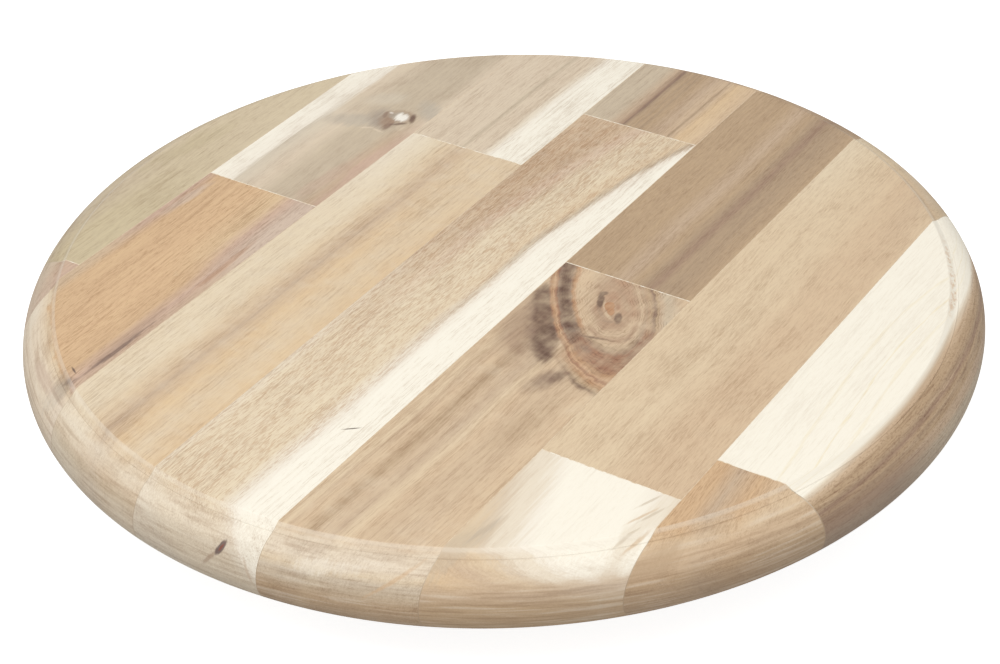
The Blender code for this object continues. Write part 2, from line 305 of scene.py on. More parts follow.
# %% Group: board place
measures = {"Place": VECTOR, "Depth": FLOAT, "Radius": FLOAT, "End Grain": FLOAT}
board_place, given, result = new_group("board_place", {"Face Height": 0.0}, measures)
tree = board_place
millimetres = millimetres_here(tree)
split = split_up(tree, millimetres)
depth = minus(tree, given["Face Height"], split["Z"])
radius = length_of(tree, split["X"], split["Y"])
square = calc(tree, "POWER", ratio(tree, split["Y"], radius), 2)
end_grain = times(tree, square, fade(tree, depth, 0.3, 3.0))
give(tree, result, Place=millimetres, Depth=depth, Radius=radius, End_Grain=end_grain)

# %% [markdown]
# ## How the figure runs along a stave
# The bands of a stave follow the tree's growth rings. They lean a little, sway, pass around
# knots, and lie at a slant through the thickness, which is why a band moves sideways where the
# rim is rounded. This group bends the position before any pattern reads it.

# %% Group: stave figure
stave_figure, given, result = new_group(
    "stave_figure",
    {
        "Place": None, "Depth": 0.0, "Left": 0.0, "Lean": 0.0,
        "Sway": 0.0, "Sway Length": 90.0, "Slant": 0.0, "Seed": 0.0,
    },
    {"Across": FLOAT, "Grain": VECTOR},
)  # fmt: skip
tree = stave_figure
split = split_up(tree, given["Place"])
along = ratio(tree, split["Y"], given["Sway Length"])
sway_place = xyz(tree, ratio(tree, split["X"], 70.0), along, given["Seed"])
sway_inputs = {"Vector": sway_place, "Scale": 1.0, "Detail": 1.5}
sway_noise = add(tree, "ShaderNodeTexNoise", sway_inputs).outputs["Fac"]
sway = times(tree, minus(tree, sway_noise, 0.5), times(tree, given["Sway"], 4))
lean = times(tree, ratio(tree, split["Y"], 100.0), given["Lean"])
slant = times(tree, given["Depth"], given["Slant"])
moved = minus(tree, split["X"], lean, slant, sway)
bent = xyz(tree, plus(tree, moved, times(tree, given["Seed"], 173.0)), split["Y"], split["Z"])
give(tree, result, Across=minus(tree, moved, given["Left"]), Grain=bent)

# %% [markdown]
# ## Grain
# Under the bands lie finer things: soft stripes, thin fibres, short dark pores, and clouds in
# the figure. Each is noise stretched along the stave, and as the noise is solid, the same
# fibres show as specks where the rim cuts across them.

# %% Group: acacia grain
GRAIN = {
    "Bands": 0.12, "Stripes": 0.26, "Fibres": 0.34, "Clouds": 0.12, "Rings": 0.12, "Open": 0.3,
}  # fmt: skip
grain_looks = {"Shade": FLOAT, "Pores": FLOAT, "Height": FLOAT}
acacia_grain, given, result = new_group("acacia_grain", {"Grain": None, **GRAIN}, grain_looks)
tree = acacia_grain
layers = {
    "Bands": noise(tree, given["Grain"], (6.0, 260.0, 12.0), 2.0),
    "Stripes": noise(tree, given["Grain"], (1.2, 48.0, 1.6), 3.0, 0.65),
    "Fibres": noise(tree, given["Grain"], (0.34, 5.0, 0.36), 3.0, 0.65),
    "Clouds": noise(tree, given["Grain"], (14.0, 22.0, 9.0), 4.0, 0.6),
    "Rings": noise(tree, given["Grain"], (50.0, 170.0, 1.8), 3.0, 0.6),
}
shade = None
for name, layer in layers.items():
    weighed = times(tree, minus(tree, layer, 0.5), 5.0, given[name])
    shade = weighed if shade is None else plus(tree, shade, weighed)
dashes = noise(tree, given["Grain"], (0.32, 3.4, 0.34), 2.0)
patches = noise(tree, given["Grain"], (5.0, 50.0, 6.0), 1.0)
common = times(tree, minus(tree, patches, 0.5), 0.3)
common = plus(tree, common, times(tree, given["Open"], 0.1))
pores = fade(tree, plus(tree, dashes, common), 0.56, 0.74)
height = minus(tree, times(tree, layers["Fibres"], 0.5), pores)
give(tree, result, Shade=shade, Pores=pores, Height=height)

# %% [markdown]
# ## Knots and stains
# A knot is a branch cut through: rings around a centre, stretched along one direction. The
# group gives the distance from the centre, counted in those stretched rings, and the side of
# the knot that a point is on. A stain is a soft ellipse with a ragged edge.

# %% Groups: knot and stain
knot_rings, given, result = new_group(
    "knot_rings",
    {
        "Place": None, "Centre": None, "Turn": 0.0, "Stretch": 1.5,
        "Outer Stretch": 1.5, "Shift": 0.0, "Wobble": 1.0,
    },
    {"Distance": FLOAT, "Side": FLOAT, "End": FLOAT},
)  # fmt: skip


def turned_place(tree, given):
    """The position as seen from the centre of a mark, turned so that X runs along it."""
    offset = vector_calc(tree, "SUBTRACT", given["Place"], given["Centre"])
    turn = calc(tree, "RADIANS", times(tree, given["Turn"], -1))
    inputs = {"Vector": offset, "Angle": turn}
    turned = add(tree, "ShaderNodeVectorRotate", inputs, rotation_type="Z_AXIS").outputs[0]
    return split_up(tree, turned)


tree = knot_rings
seen = turned_place(tree, given)
wave = noise(tree, given["Place"], (11.0, 11.0, 11.0), 3.0)
ripple = noise(tree, given["Place"], (2.6, 2.6, 2.6), 2.0)
plain = length_of(tree, seen["X"], seen["Y"])
grown = fade(tree, plain, 5.0, 26.0)
shifted = minus(tree, seen["X"], times(tree, grown, given["Shift"]))
inner = times(tree, minus(tree, 1.0, grown), given["Stretch"])
stretch = plus(tree, inner, times(tree, grown, given["Outer Stretch"]))
long_way = ratio(tree, shifted, stretch)
ring = length_of(tree, long_way, seen["Y"])
wobble = times(tree, minus(tree, wave, 0.5), given["Wobble"])
wobble = plus(tree, wobble, times(tree, minus(tree, ripple, 0.5), 1.6))
reach = calc(tree, "MAXIMUM", ring, 0.01)
side, end = ratio(tree, seen["Y"], reach), ratio(tree, long_way, reach)
give(tree, result, Distance=plus(tree, ring, wobble), Side=side, End=end)

stain, given, result = new_group(
    "stain",
    {
        "Place": None, "Centre": None, "Turn": 0.0, "Length": 10.0,
        "Width": 5.0, "Ragged": 0.5, "Core": 0.3,
    },
    {"Mask": FLOAT},
)  # fmt: skip
tree = stain
seen = turned_place(tree, given)
long_part = ratio(tree, seen["X"], given["Length"])
far = length_of(tree, long_part, ratio(tree, seen["Y"], given["Width"]))
brushed = noise(tree, given["Place"], (1.6, 14.0, 3.0), 3.0, 0.6)
ragged = times(tree, minus(tree, brushed, 0.5), given["Ragged"])
give(tree, result, Mask=fade(tree, plus(tree, far, ragged), 1.0, given["Core"]))

# %% [markdown]
# ## A recipe for one stave's wood
# Every stave gets its own material from the same steps: the tones that cross it at its near and
# far end, which run into each other along the fibres, then its stains and knots, then the grain,
# and last the rim, whose tones run darker towards its underside in most staves, with darker
# specks where end grain has drunk more oil, and a pale band on the step's edge that is a painted
# highlight.

# %% The recipe
STAVE_W = 57.4
RIM_SPAN = 30.0
FACE = board_top / MM
GRAIN_SHADE = (0.52, 0.42, 0.34, 1)


def stain_on(tree, where, colour, mark, on_rim=False):
    """Lays one stain of a named tone over the colour, on the face or, by depth, on the rim."""
    name, x, y, length, width, turn, strength, ragged, *core = mark
    place = where["Place"]
    if on_rim:
        place = xyz(tree, split_up(tree, place)["X"], times(tree, where["Depth"], -1))
    sizes = {"Turn": float(turn), "Length": float(length), "Width": float(width), "Ragged": ragged}
    if core:
        sizes["Core"] = core[0]
    mask = use(tree, stain, Place=place, Centre=(x, y, 0.0), **sizes)["Mask"]
    return blend(tree, times(tree, mask, strength), colour, tone(name))


def marked(marks):
    """A step that lays a list of stains, one over another."""

    def step(tree, where, figure, colour):
        for mark in marks:
            colour = stain_on(tree, where, colour, mark)
        return colour

    return step


def across_tones(tree, figure, hundreds, spec):
    """How far across the tones a point is, as they lean, curve and run into each other."""
    lean = times(tree, hundreds, spec.get("tone_lean", 0.0))
    past = calc(tree, "POWER", calc(tree, "MAXIMUM", hundreds, 0.0), 2.0)
    curve = times(tree, past, spec.get("curve", 0.0))
    brushed = noise(tree, figure["Grain"], (1.0, 32.0, 1.0), 3.0, 0.6)
    feather = times(tree, minus(tree, brushed, 0.5), spec.get("feather", 2.0))
    return plus(tree, minus(tree, figure["Across"], lean, curve), feather)


def rim_over(tree, where, figure, dark, heart, colour, spec):
    """The rim's tones by depth, which in most staves run darker towards the underside, laid in
    layers, with a ragged upper border.
    """
    rim = tone_ramp(tree, where["Depth"], spec["rim"], RIM_SPAN)
    rim = blend(tree, times(tree, dark, 0.7), rim, GRAIN_SHADE, "MULTIPLY")
    layers = noise(tree, figure["Grain"], (24.0, 60.0, 1.3), 3.0, 0.6)
    rim = blend(tree, fade(tree, layers, 0.52, 0.3, 0.0, 0.4), rim, tone("umber"), "MULTIPLY")
    rim = blend(tree, fade(tree, layers, 0.5, 0.7, 0.0, 0.3), rim, tone("ivory"))
    ragged = noise(tree, where["Place"], (7.0, 7.0, 3.0), 3.0)
    edge = plus(tree, where["Depth"], times(tree, ragged, 5.0))
    start, end = spec.get("rim_from", (2.0, 8.0))
    share = times(tree, fade(tree, edge, start, end), spec.get("rim_share", 0.8))
    return blend(tree, times(tree, share, calc(tree, "MAXIMUM", heart, 0.3)), colour, rim)


def acacia(name, spec, left):
    """A stave's material: left is its left edge in millimetres, and spec describes it."""
    material, tree, shader = new_material(f"acacia_{name}")
    where = use(tree, board_place, Face_Height=spec.get("face", FACE))
    figure = use(
        tree, stave_figure, Place=where["Place"], Depth=where["Depth"],
        Left=left + spec.get("shift", 0.0), Lean=spec.get("lean", 0.0), Sway=spec.get("sway", 1.0),
        Sway_Length=spec.get("sway_length", 90.0), Slant=spec.get("slant", 0.3), Seed=spec["seed"],
    )  # fmt: skip
    span = spec.get("span", STAVE_W)
    along = split_up(tree, where["Place"])["Y"]
    across = across_tones(tree, figure, ratio(tree, along, 100.0), spec)
    colour = tone_ramp(tree, across, spec["tones"], span)
    if "far_tones" in spec:
        far_colour = tone_ramp(tree, across, spec["far_tones"], span)
        colour = blend(tree, fade(tree, along, *spec["change"]), colour, far_colour)
    heart = fade(tree, across, *spec["sapwood"]) if "sapwood" in spec else 1.0
    for step in (marked(spec.get("stains", ())), *spec.get("extra", ())):
        colour = step(tree, where, figure, colour)

    values = {key: spec.get(key.lower(), value) for key, value in GRAIN.items()}
    grain = use(tree, acacia_grain, Grain=figure["Grain"], **values)
    dark = calc(tree, "MAXIMUM", times(tree, grain["Shade"], -1), 0)
    light = times(tree, calc(tree, "MAXIMUM", grain["Shade"], 0), 0.55)
    colour = blend(tree, dark, colour, GRAIN_SHADE, "MULTIPLY")
    colour = blend(tree, light, colour, tone("cream"), "SOFT_LIGHT")
    pores = times(tree, grain["Pores"], times(tree, heart, spec.get("pores", 0.2)))
    colour = blend(tree, pores, colour, tone(spec.get("pore_tone", "umber")), "MULTIPLY")

    if "rim" in spec:
        colour = rim_over(tree, where, figure, dark, heart, colour, spec)
    # Painted highlight: a pale ivory band on the rounded edge just below the face, as if it caught
    # the light.
    edge_highlight = fade(tree, where["Depth"], 0.05, 0.3), fade(tree, where["Depth"], 1.5, 0.8)
    colour = blend(tree, times(tree, *edge_highlight, 0.25), colour, tone("ivory"))
    for mark in spec.get("rim_marks", ()):
        colour = stain_on(tree, where, colour, mark, on_rim=True)
    specks = noise(tree, where["Place"], (0.6, 3.0, 0.6), 2.0, 0.7)
    end_dark = times(tree, where["End Grain"], 0.16, fade(tree, specks, 0.35, 0.65))
    colour = blend(tree, end_dark, colour, tone("cocoa"), "MULTIPLY")

    looks = {"Base Color": colour, "Specular IOR Level": 0.35}
    looks["Roughness"] = plus(tree, times(tree, grain["Pores"], 0.2), 0.52)
    looks["Normal"] = bumps(tree, 0.25, 0.1 * MM, grain["Height"])
    fill(tree, shader, looks)
    return material


# %% [markdown]
# ## The big knot
# The fifth row holds the piece everyone notices: a rusty heart with dark cracks beside it, pale
# rings, a brown collar, an amber line, and outside that a dark flame that smears down the grain.
# Its rings read two ramps, one for each side, as the knot was cut at a slant.

# %% The big knot's rings
KNOT_SPAN = 36.0
KNOT_LEFT = {
    0: "blush", 4.2: "blush", 6.5: "dusk", 8.0: "biscuit", 10.6: "oat", 12.6: "oat", 13.4: "copper",
    14.2: "clay", 15.2: "walnut", 16.2: "bark", 18.6: "bark", 20.0: "walnut", 20.7: "russet",
    21.5: "copper", 22.4: "clay", 23.2: "russet",
}  # fmt: skip
KNOT_RIGHT = {
    0: "blush", 5.0: "blush", 7.0: "dusk", 9.5: "blush", 11.5: "dusk", 12.6: "biscuit",
    13.6: "dusk", 14.2: "cocoa", 14.8: "dusk", 16.2: "brown", 17.2: "umber", 17.9: "walnut",
    18.8: "brown", 20.0: "fawn", 22.0: "greige",
}  # fmt: skip
KNOT_FOOT = {
    0: "dusk", 8.0: "dusk", 10.0: "biscuit", 11.6: "dusk", 12.6: "biscuit", 13.6: "cocoa",
    14.6: "umber", 15.6: "russet", 19.6: "russet", 21.0: "clay", 22.0: "copper", 22.7: "russet",
    23.4: "copper", 24.4: "clay", 26.0: "brown", 27.2: "bark", 28.0: "umber", 29.2: "sand",
}  # fmt: skip
KNOT_RAMPS = (KNOT_RIGHT, KNOT_LEFT, KNOT_FOOT)
FLAME = [
    ("umber", 36, -36, 34, 16, -62, 0.8, 0.6),
    ("walnut", 38.5, -29, 32, 9.5, -61, 0.95, 0.4, 0.4),
    ("bark", 31.0, -14, 13, 7.0, -56, 0.9, 0.3, 0.6),
    ("bark", 38.0, -25, 15, 7.0, -60, 0.9, 0.3, 0.6),
    ("bark", 46.5, -40, 15, 6.2, -63, 0.9, 0.3, 0.6),
    ("walnut", 59.5, -61, 15, 7.0, 68, 0.85, 0.7, 0.2),
    ("bark", 63.0, -55, 8.0, 3.2, 78, 0.8, 0.6, 0.3),
    ("brown", 68, -88, 26, 8, 82, 0.5, 1.0),
    ("putty", 76, -53, 8, 2.4, 2, 0.5, 0.8),
    ("sand", 80, -68, 12, 6, 75, 0.5, 0.8),
]
HEART = [
    ("oat", 47.2, -5.0, 9.5, 2.0, -66, 0.6, 0.5),
    ("bark", 49.8, -4.0, 7.4, 1.8, -64, 1.0, 0.5, 0.5),
    ("bark", 48.6, 0.6, 2.4, 1.7, 60, 0.9, 0.4, 0.5),
    ("umber", 54.2, -11.6, 6.0, 1.5, -44, 0.8, 0.5),
    ("sand", 57.8, -12.0, 4.6, 1.3, -36, 0.7, 0.5),
    ("sand", 53.2, -6.6, 4.6, 1.1, -60, 0.6, 0.5),
    ("russet", 57.6, -3.6, 5.0, 1.3, -60, 0.5, 0.5),
    ("rust", 55.2, -6.2, 3.4, 2.2, -60, 1.0, 0.6, 0.8),
    ("rust", 57.6, -9.2, 2.9, 1.6, -64, 1.0, 0.6, 0.8),
    ("bark", 62.4, -11.8, 4.8, 2.0, -64, 1.0, 0.5, 0.5),
    ("umber", 60.4, -15.4, 4.6, 1.2, 12, 0.7, 0.4),
    ("bark", 61.5, -27.6, 9.0, 1.1, 14, 0.7, 0.6),
    ("bark", 50.0, -23.5, 8.0, 1.0, -38, 0.6, 0.6),
    ("umber", 72.8, -22.3, 3.2, 0.8, 72, 0.85, 0.4),
    ("plum", 50.6, -27.4, 3.0, 2.0, -10, 0.5, 0.8),
    ("plum", 62.2, -35.8, 4.6, 2.8, -30, 0.5, 0.8),
    ("umber", 79.8, -26, 16, 2.2, 90, 0.75, 0.8),
]


def knot_body(tree, where, figure, colour):
    """The knot inside its flame: a ramp for each side and one for its foot, and fine rings."""
    place = where["Place"]
    rings = use(
        tree, knot_rings, Place=place, Centre=(56.1, -7.3, FACE), Turn=-55.0, Stretch=1.68,
        Outer_Stretch=2.5, Shift=-5.5, Wobble=2.6,
    )  # fmt: skip
    distance = rings["Distance"]
    left = fade(tree, rings["Side"], 0.45, -0.25)
    foot = fade(tree, rings["End"], 0.35, 0.8)
    ramps = [tone_ramp(tree, distance, tones, KNOT_SPAN) for tones in KNOT_RAMPS]
    knot = blend(tree, foot, blend(tree, left, ramps[0], ramps[1]), ramps[2])
    # Fine rings: thin dark lines whose strength comes and goes.
    lines = fade(tree, calc(tree, "SINE", times(tree, distance, 6.6)), 0.1, 1.0)
    patchy = fade(tree, noise(tree, place, (5.0, 5.0, 5.0), 2.0), 0.4, 0.65)
    fine = times(tree, lines, fade(tree, distance, 6.0, 10.0), patchy, 0.5)
    knot = blend(tree, fine, knot, tone("umber"), "MULTIPLY")
    edge_left = fade(tree, distance, 23.8, 22.8)
    edge_right = fade(tree, distance, 30.0, 22.0)
    edge_foot = fade(tree, distance, 29.5, 26.5)
    edge = plus(tree, edge_right, times(tree, left, minus(tree, edge_left, edge_right)))
    edge = plus(tree, edge, times(tree, foot, minus(tree, edge_foot, edge)))
    return blend(tree, edge, colour, knot)


# The second row's knot is a hollow filled with clear resin. The two pale spots in its middle are
# painted highlights, where the glossy resin would catch the light.
RESIN_KNOT_AND_HIGHLIGHT = [
    ("fog", -96, 89, 13, 7, -50, 0.8, 0.9),
    ("ash", -120, 89, 14, 8, 40, 0.6, 0.9),
    ("fog", -121, 66, 20, 8.0, 24, 0.75, 0.9),
    ("smoke", -111, 73, 14, 9.0, -48, 0.8, 0.9),
    ("umber", -107.6, 71.4, 8.0, 5.0, -52, 0.75, 0.8),
    ("walnut", -105.0, 67.8, 5.6, 2.4, -84, 0.8, 0.7),
    ("umber", -105.2, 78.0, 8.4, 7.2, 20, 0.65, 0.8, 0.6),
    ("bark", -98.8, 79.2, 6.2, 1.9, -66, 0.8, 0.6),
    ("walnut", -112.0, 76.6, 4.6, 1.6, -68, 0.6, 0.6),
    ("bark", -101.6, 72.4, 5.4, 1.6, 40, 0.7, 0.6),
    ("fog", -106.0, 78.6, 5.4, 4.8, 10, 0.85, 0.9, 0.5),
    ("smoke", -108.8, 77.4, 2.6, 3.4, 20, 0.7, 0.9),
    # Painted highlight: two pale spots on the resin, a large one and a small one.
    ("painted_highlight", -103.8, 78.0, 5.2, 3.9, -60, 1.0, 1.2, 0.4),
    ("painted_highlight", -110.4, 79.2, 1.5, 1.2, 0, 0.6, 0.6),
    ("putty", -112.6, 62.6, 4.4, 1.0, 30, 0.7, 0.5),
    ("putty", -106.6, 62.9, 4.6, 1.1, -8, 0.7, 0.5),
    ("putty", -99.0, 70.0, 3.6, 3.0, -70, 0.5, 0.6),
    ("rose", -94.6, 36, 24, 3.2, 90, 0.85, 0.8),
    ("rose", -101, 20, 34, 5.5, 84, 0.45, 1.0),
]


def resin_line(tree, where, figure, colour):
    """A broken amber line along the step of the rim, where a resin pocket was turned open."""
    split = split_up(tree, where["Place"])
    angle = calc(tree, "DEGREES", calc(tree, "ARCTAN2", split["Y"], split["X"]))
    window = fade(tree, angle, 16.0, 20.0), fade(tree, angle, 39.0, 30.0)
    drift = times(tree, minus(tree, noise(tree, where["Place"], (5, 5, 5), 3.0), 0.5), 3.6)
    off = calc(tree, "ABSOLUTE", plus(tree, minus(tree, where["Radius"], 181.0), drift))
    broken = fade(tree, noise(tree, where["Place"], (1.6, 3.0, 1.6), 3.0, 0.6), 0.40, 0.62)
    share = times(tree, *window, fade(tree, off, 1.6, 0.1), broken, 0.55)
    return blend(tree, share, colour, tone("resin"))


def heartwood_rim(tree, where, figure, colour):
    """Dark and pale streaks in the heartwood under the last stave's sapwood."""
    shallow = fade(tree, where["Depth"], 20.0, 28.0, 1.0, 0.2)
    heart = times(tree, fade(tree, figure["Across"], 48.0, 56.0), shallow)
    streaks = noise(tree, figure["Grain"], (3.4, 26.0, 0.8), 4.0, 0.7)
    dark = times(tree, fade(tree, streaks, 0.5, 0.7, 0.0, 0.6), heart)
    colour = blend(tree, dark, colour, tone("umber"), "MULTIPLY")
    pale = times(tree, fade(tree, streaks, 0.46, 0.3, 0.0, 0.7), heart)
    colour = blend(tree, pale, colour, tone("biscuit"))
    specks = noise(tree, where["Place"], (0.5, 1.6, 0.5), 2.0, 0.6)
    dark = times(tree, fade(tree, specks, 0.5, 0.66, 0.0, 0.35), heart)
    colour = blend(tree, dark, colour, tone("umber"), "MULTIPLY")
    y = split_up(tree, where["Place"])["Y"]
    low = times(tree, fade(tree, where["Depth"], 6.0, 12.0), fade(tree, y, 5.0, -40.0, 0.0, 0.6))
    return blend(tree, low, colour, tone("walnut"))


# %% [markdown]
# ## Fourteen staves described
# Distances are in millimetres from the stave's left edge for the tones, from the board's middle
# for the stains, and below the face for the rim. A stain is a tone, its centre, half its length
# and width, its angle, how strong it is, how ragged, and sometimes how wide its full core is.

# %% Describe the staves
STAVES = {
    "stave_1_near": {
        "seed": 1.3, "rim_share": 0.5,
        "tones": {0: "greige", 40: "fawn", 57: "rose"},
        "rim": {0: "ash", 15: "ash", 30: "fawn"},
    },
    "stave_1_far": {
        "seed": 2.1, "slant": -0.6, "clouds": 0.14, "pores": 0.12, "change": (-60, 40),
        "rim_share": 0.6,
        "tones": {8: "greige", 28: "greige", 42: "olive"},
        "far_tones": {8: "greige", 20: "moss"},
        "rim": {0: "khaki", 10: "greige", 20: "greige", 30: "fawn"},
        "stains": [("khaki", -172, 10, 40, 7, 80, 0.6, 1.4)],
    },
    "stave_2_near": {
        "seed": 3.7, "sway": 1.5, "lean": -3, "stripes": 0.34, "pores": 0.3, "change": (-80, -40),
        "rim_from": (3.2, 5.2),
        "tones": {0: "biscuit", 4: "tan", 30: "apricot", 42: "tan", 48: "rose", 57: "fawn"},
        "far_tones": {0: "rose", 5: "tan", 25: "apricot", 38: "honey", 44: "rose", 50: "lilac"},
        "rim": {0: "sand", 2: "straw", 4: "bone", 10: "bone", 18: "ash"},
        "rim_marks": [
            ("plum", -100, -2.2, 7, 2.6, 0, 0.3, 1.2),
            ("lilac", -112, -5.0, 16, 2.0, 4, 0.5, 1.2),
        ],
        "stains": [
            ("plum", -94.5, -128, 26, 1.6, 90, 0.75, 1.5),
            ("umber", -96.5, -118, 34, 3.4, 91, 0.4, 1.4),
            ("plum", -99, -158, 9, 7, 60, 0.7, 1.6),
            ("ink", -98.5, -153, 5.0, 2.6, 50, 0.5, 1.0),
            ("ink", -100, -146.5, 3.5, 0.6, -30, 0.8, 0.4),
            ("rust", -96, -60, 30, 2.2, 92, 0.35, 1.0),
            ("lilac", -144, -26, 22, 3.4, 88, 0.7, 1.2),
        ],
    },
    "stave_2_far": {
        "seed": 4.4, "sway_length": 60, "clouds": 0.18, "pores": 0.08, "fibres": 0.22,
        "stripes": 0.16, "change": (50, 90), "feather": 4.0, "rim_share": 0.4,
        "extra": [marked(RESIN_KNOT_AND_HIGHLIGHT)],
        "tones": {
            0: "cream", 11.0: "ivory", 12.6: "ash", 24: "putty", 32: "greige", 46: "greige",
            52: "fawn", 57: "rose",
        },
        "far_tones": {
            0: "cream", 13.0: "ivory", 15.0: "putty", 30: "greige", 50: "greige", 57: "putty",
        },
        "rim": {0: "greige", 15: "greige", 30: "fawn"},
        "stains": [("greige", -118, 84, 28, 17, 20, 0.5, 0.8)],
    },
    "stave_3_near": {
        "seed": 5.2, "pores": 0.12, "change": (-30, 70), "rim_from": (1.5, 7), "rim_share": 0.75,
        "tones": {
            0: "straw", 14: "straw", 20: "sand", 26: "biscuit", 28: "fawn", 29.5: "biscuit",
            36: "honey", 46: "sand", 57: "honey",
        },
        "far_tones": {0: "bone", 14: "straw", 20: "sand", 28: "biscuit", 34: "sand"},
        "rim": {0: "bone", 4: "bone", 7: "putty", 9.5: "greige", 13: "ash"},
    },
    "stave_3_far": {
        "seed": 6.6, "clouds": 0.14, "pores": 0.1, "feather": 3.0, "rim_share": 0.4,
        "tones": {
            0: "putty", 24: "putty", 26: "greige", 28: "putty", 35: "putty", 38: "bone",
            40.5: "ivory", 43: "cream",
        },
        "rim": {0: "ash", 15: "greige", 30: "fawn"},
    },
    "stave_4_near": {
        "seed": 7.9, "lean": 1.0, "shift": -1.5, "slant": 1.2, "curve": 11.0, "pores": 0.5,
        "open": 1.0, "pore_tone": "rose", "sapwood": (45, 39), "feather": 5.0, "change": (-110, 60),
        "rim_from": (2, 7), "rim_share": 0.7,
        "tones": {0: "bone", 8: "straw", 35: "straw", 39: "bone", 43: "ivory", 46: "cream"},
        "far_tones": {
            0: "biscuit", 8: "biscuit", 14: "wheat", 20: "straw", 30: "straw", 37: "sand",
            39.5: "greige", 41.5: "ivory", 45: "cream",
        },
        "rim": {0: "bone", 6: "bone", 9: "ash"},
        "stains": [("ink", 14.2, -122.4, 4.8, 0.5, 39, 0.9, 0.2)],
        "rim_marks": [
            ("umber", 3.6, -13.6, 6.0, 1.2, 50, 0.6, 0.8),
            ("plum", 7.7, -9.0, 3.6, 1.5, 58, 0.9, 0.5, 0.6),
            ("cherry", 7.9, -8.8, 2.0, 0.6, 58, 0.9, 0.4),
            ("fawn", 20.0, -14.0, 8, 0.8, -62, 0.5, 0.3),
        ],
    },
    "stave_4_far": {
        "seed": 8.5, "sway": 0.8, "stripes": 0.2, "pores": 0.12, "rim_share": 0.4,
        "tones": {
            0: "greige", 12: "greige", 17: "fawn", 19.6: "umber", 20.8: "walnut", 22: "cocoa",
            25: "brown", 26: "cocoa", 27: "brown", 29: "cocoa", 31: "brown", 37: "fawn",
            42.4: "biscuit", 43.3: "cocoa", 44.4: "biscuit", 48: "honey", 57: "oat",
        },
        "rim": {0: "greige", 15: "fawn", 30: "cocoa"},
    },
    "stave_5_near": {
        "seed": 9.1, "lean": 3, "sway": 1.4, "stripes": 0.3, "pores": 0.14, "slant": -0.4,
        "rim_from": (1.0, 5.0), "rim_share": 0.75,
        "extra": [marked(FLAME), knot_body, marked(HEART)],
        "tones": {
            0: "oat", 8: "sand", 10: "biscuit", 13: "oat", 19: "brown", 22: "biscuit", 27: "fawn",
            31: "sand", 35: "oat", 41: "biscuit", 48: "biscuit", 57: "oat",
        },
        "rim": {
            0: "sand", 2.5: "bone", 5: "bone", 7: "straw", 9: "ash", 12: "greige", 16: "brown",
            30: "cocoa",
        },
        "rim_marks": [
            ("tan", 70, -8.2, 12, 1.0, 36, 0.6, 0.8),
            ("ivory", 46, -6.6, 16, 2.4, 3, 0.5, 1.6),
        ],
    },
    "stave_5_far": {
        "seed": 10.2, "stripes": 0.2, "clouds": 0.1, "rim_share": 0.4,
        "tones": {
            0: "brown", 20: "brown", 27: "fawn", 32: "brown", 36: "cocoa", 40: "umber", 43: "cocoa",
            48: "cocoa", 57: "brown",
        },
        "rim": {0: "brown", 15: "cocoa", 30: "umber"},
    },
    "stave_6_near": {
        "seed": 11.8, "sway": 0.8, "slant": 3.3, "fibres": 0.1, "pores": 0.06, "stripes": 0.1,
        "bands": 0.05, "clouds": 0.06, "pore_tone": "tan", "shift": -60, "span": 100,
        "tone_lean": -27, "feather": 14.0, "rim_from": (7, 12),
        "tones": {
            0: "honey", 12: "biscuit", 22: "sand", 29: "putty", 34: "bone", 38: "bone", 43: "ivory",
            48: "cream", 74: "cream", 82: "ivory", 88: "bone", 94: "putty",
        },
        "rim": {0: "biscuit", 8: "biscuit", 11: "fawn", 14: "brown"},
        "stains": [
            ("greige", 84, -158, 28, 7, 72, 0.55, 1.4),
            ("smoke", 88, -146, 14, 1.6, 78, 0.25, 1.8),
            ("bone", 133, -122, 30, 5.0, 86, 0.7, 1.4),
            ("greige", 129.0, -104, 8, 0.8, 68, 0.6, 1.0),
            ("greige", 133.5, -110, 9, 0.8, 70, 0.6, 1.0),
            ("oat", 131.0, -112, 9, 0.8, 68, 0.7, 1.0),
            ("oat", 135.5, -122, 10, 0.9, 74, 0.7, 1.0),
            ("greige", 131.5, -124, 10, 0.8, 72, 0.6, 1.0),
        ],
    },
    "stave_6_far": {
        "seed": 12.3, "sway": 1.6, "clouds": 0.16, "stripes": 0.14, "pores": 0.12,
        "change": (60, 160), "rim_share": 0.5,
        "tones": {0: "sand", 24: "sand", 40: "oat"},
        "far_tones": {0: "straw", 20: "sand", 35: "oat", 46: "biscuit", 57: "sand"},
        "rim": {0: "olive", 15: "fawn", 30: "cocoa"},
    },
    "stave_7_near": {
        "seed": 13.6, "stripes": 0.2, "pores": 0.3, "lean": -6,
        "tones": {0: "tan", 6: "fawn", 14: "tan", 22: "oat", 40: "honey", 57: "tan"},
        "rim": {0: "honey", 3: "sand", 6: "oat", 9: "biscuit", 12: "brown", 15: "cocoa"},
        "rim_marks": [("brown", 143, -6.5, 10, 5.0, 0, 0.6, 0.8)],
    },
    "stave_7_far": {
        "seed": 14.9, "sway": 0.5, "slant": -4.5, "span": 140, "fibres": 0.12, "stripes": 0.1,
        "bands": 0.03, "clouds": 0.04, "pores": 0.04, "pore_tone": "tan", "rings": 0.06,
        "curve": 18.0, "tone_lean": -8, "feather": 3.0, "extra": [heartwood_rim, resin_line],
        "tones": {
            0: "cream", 17.2: "cream", 17.7: "lemon", 18.2: "cream", 26.3: "cream", 26.8: "lemon",
            27.3: "cream", 33.1: "cream", 33.6: "lemon", 34.1: "cream", 42: "cream", 44.5: "bone",
            47: "putty", 51: "biscuit", 58: "brown", 63: "brown", 68: "cocoa", 73: "umber",
            79: "brown", 84: "cocoa", 92: "brown", 97: "fawn", 106: "fawn", 118: "greige",
        },
    },
}  # fmt: skip

# %% [markdown]
# ## Turning the board
# On the lathe the whole board is one disc. Its profile is drawn once, from the middle of the face
# out over a small step, round the wide rim and back under, and is then swept round. The step has
# a softened edge and a small hollow at its foot, as a cutter leaves them.

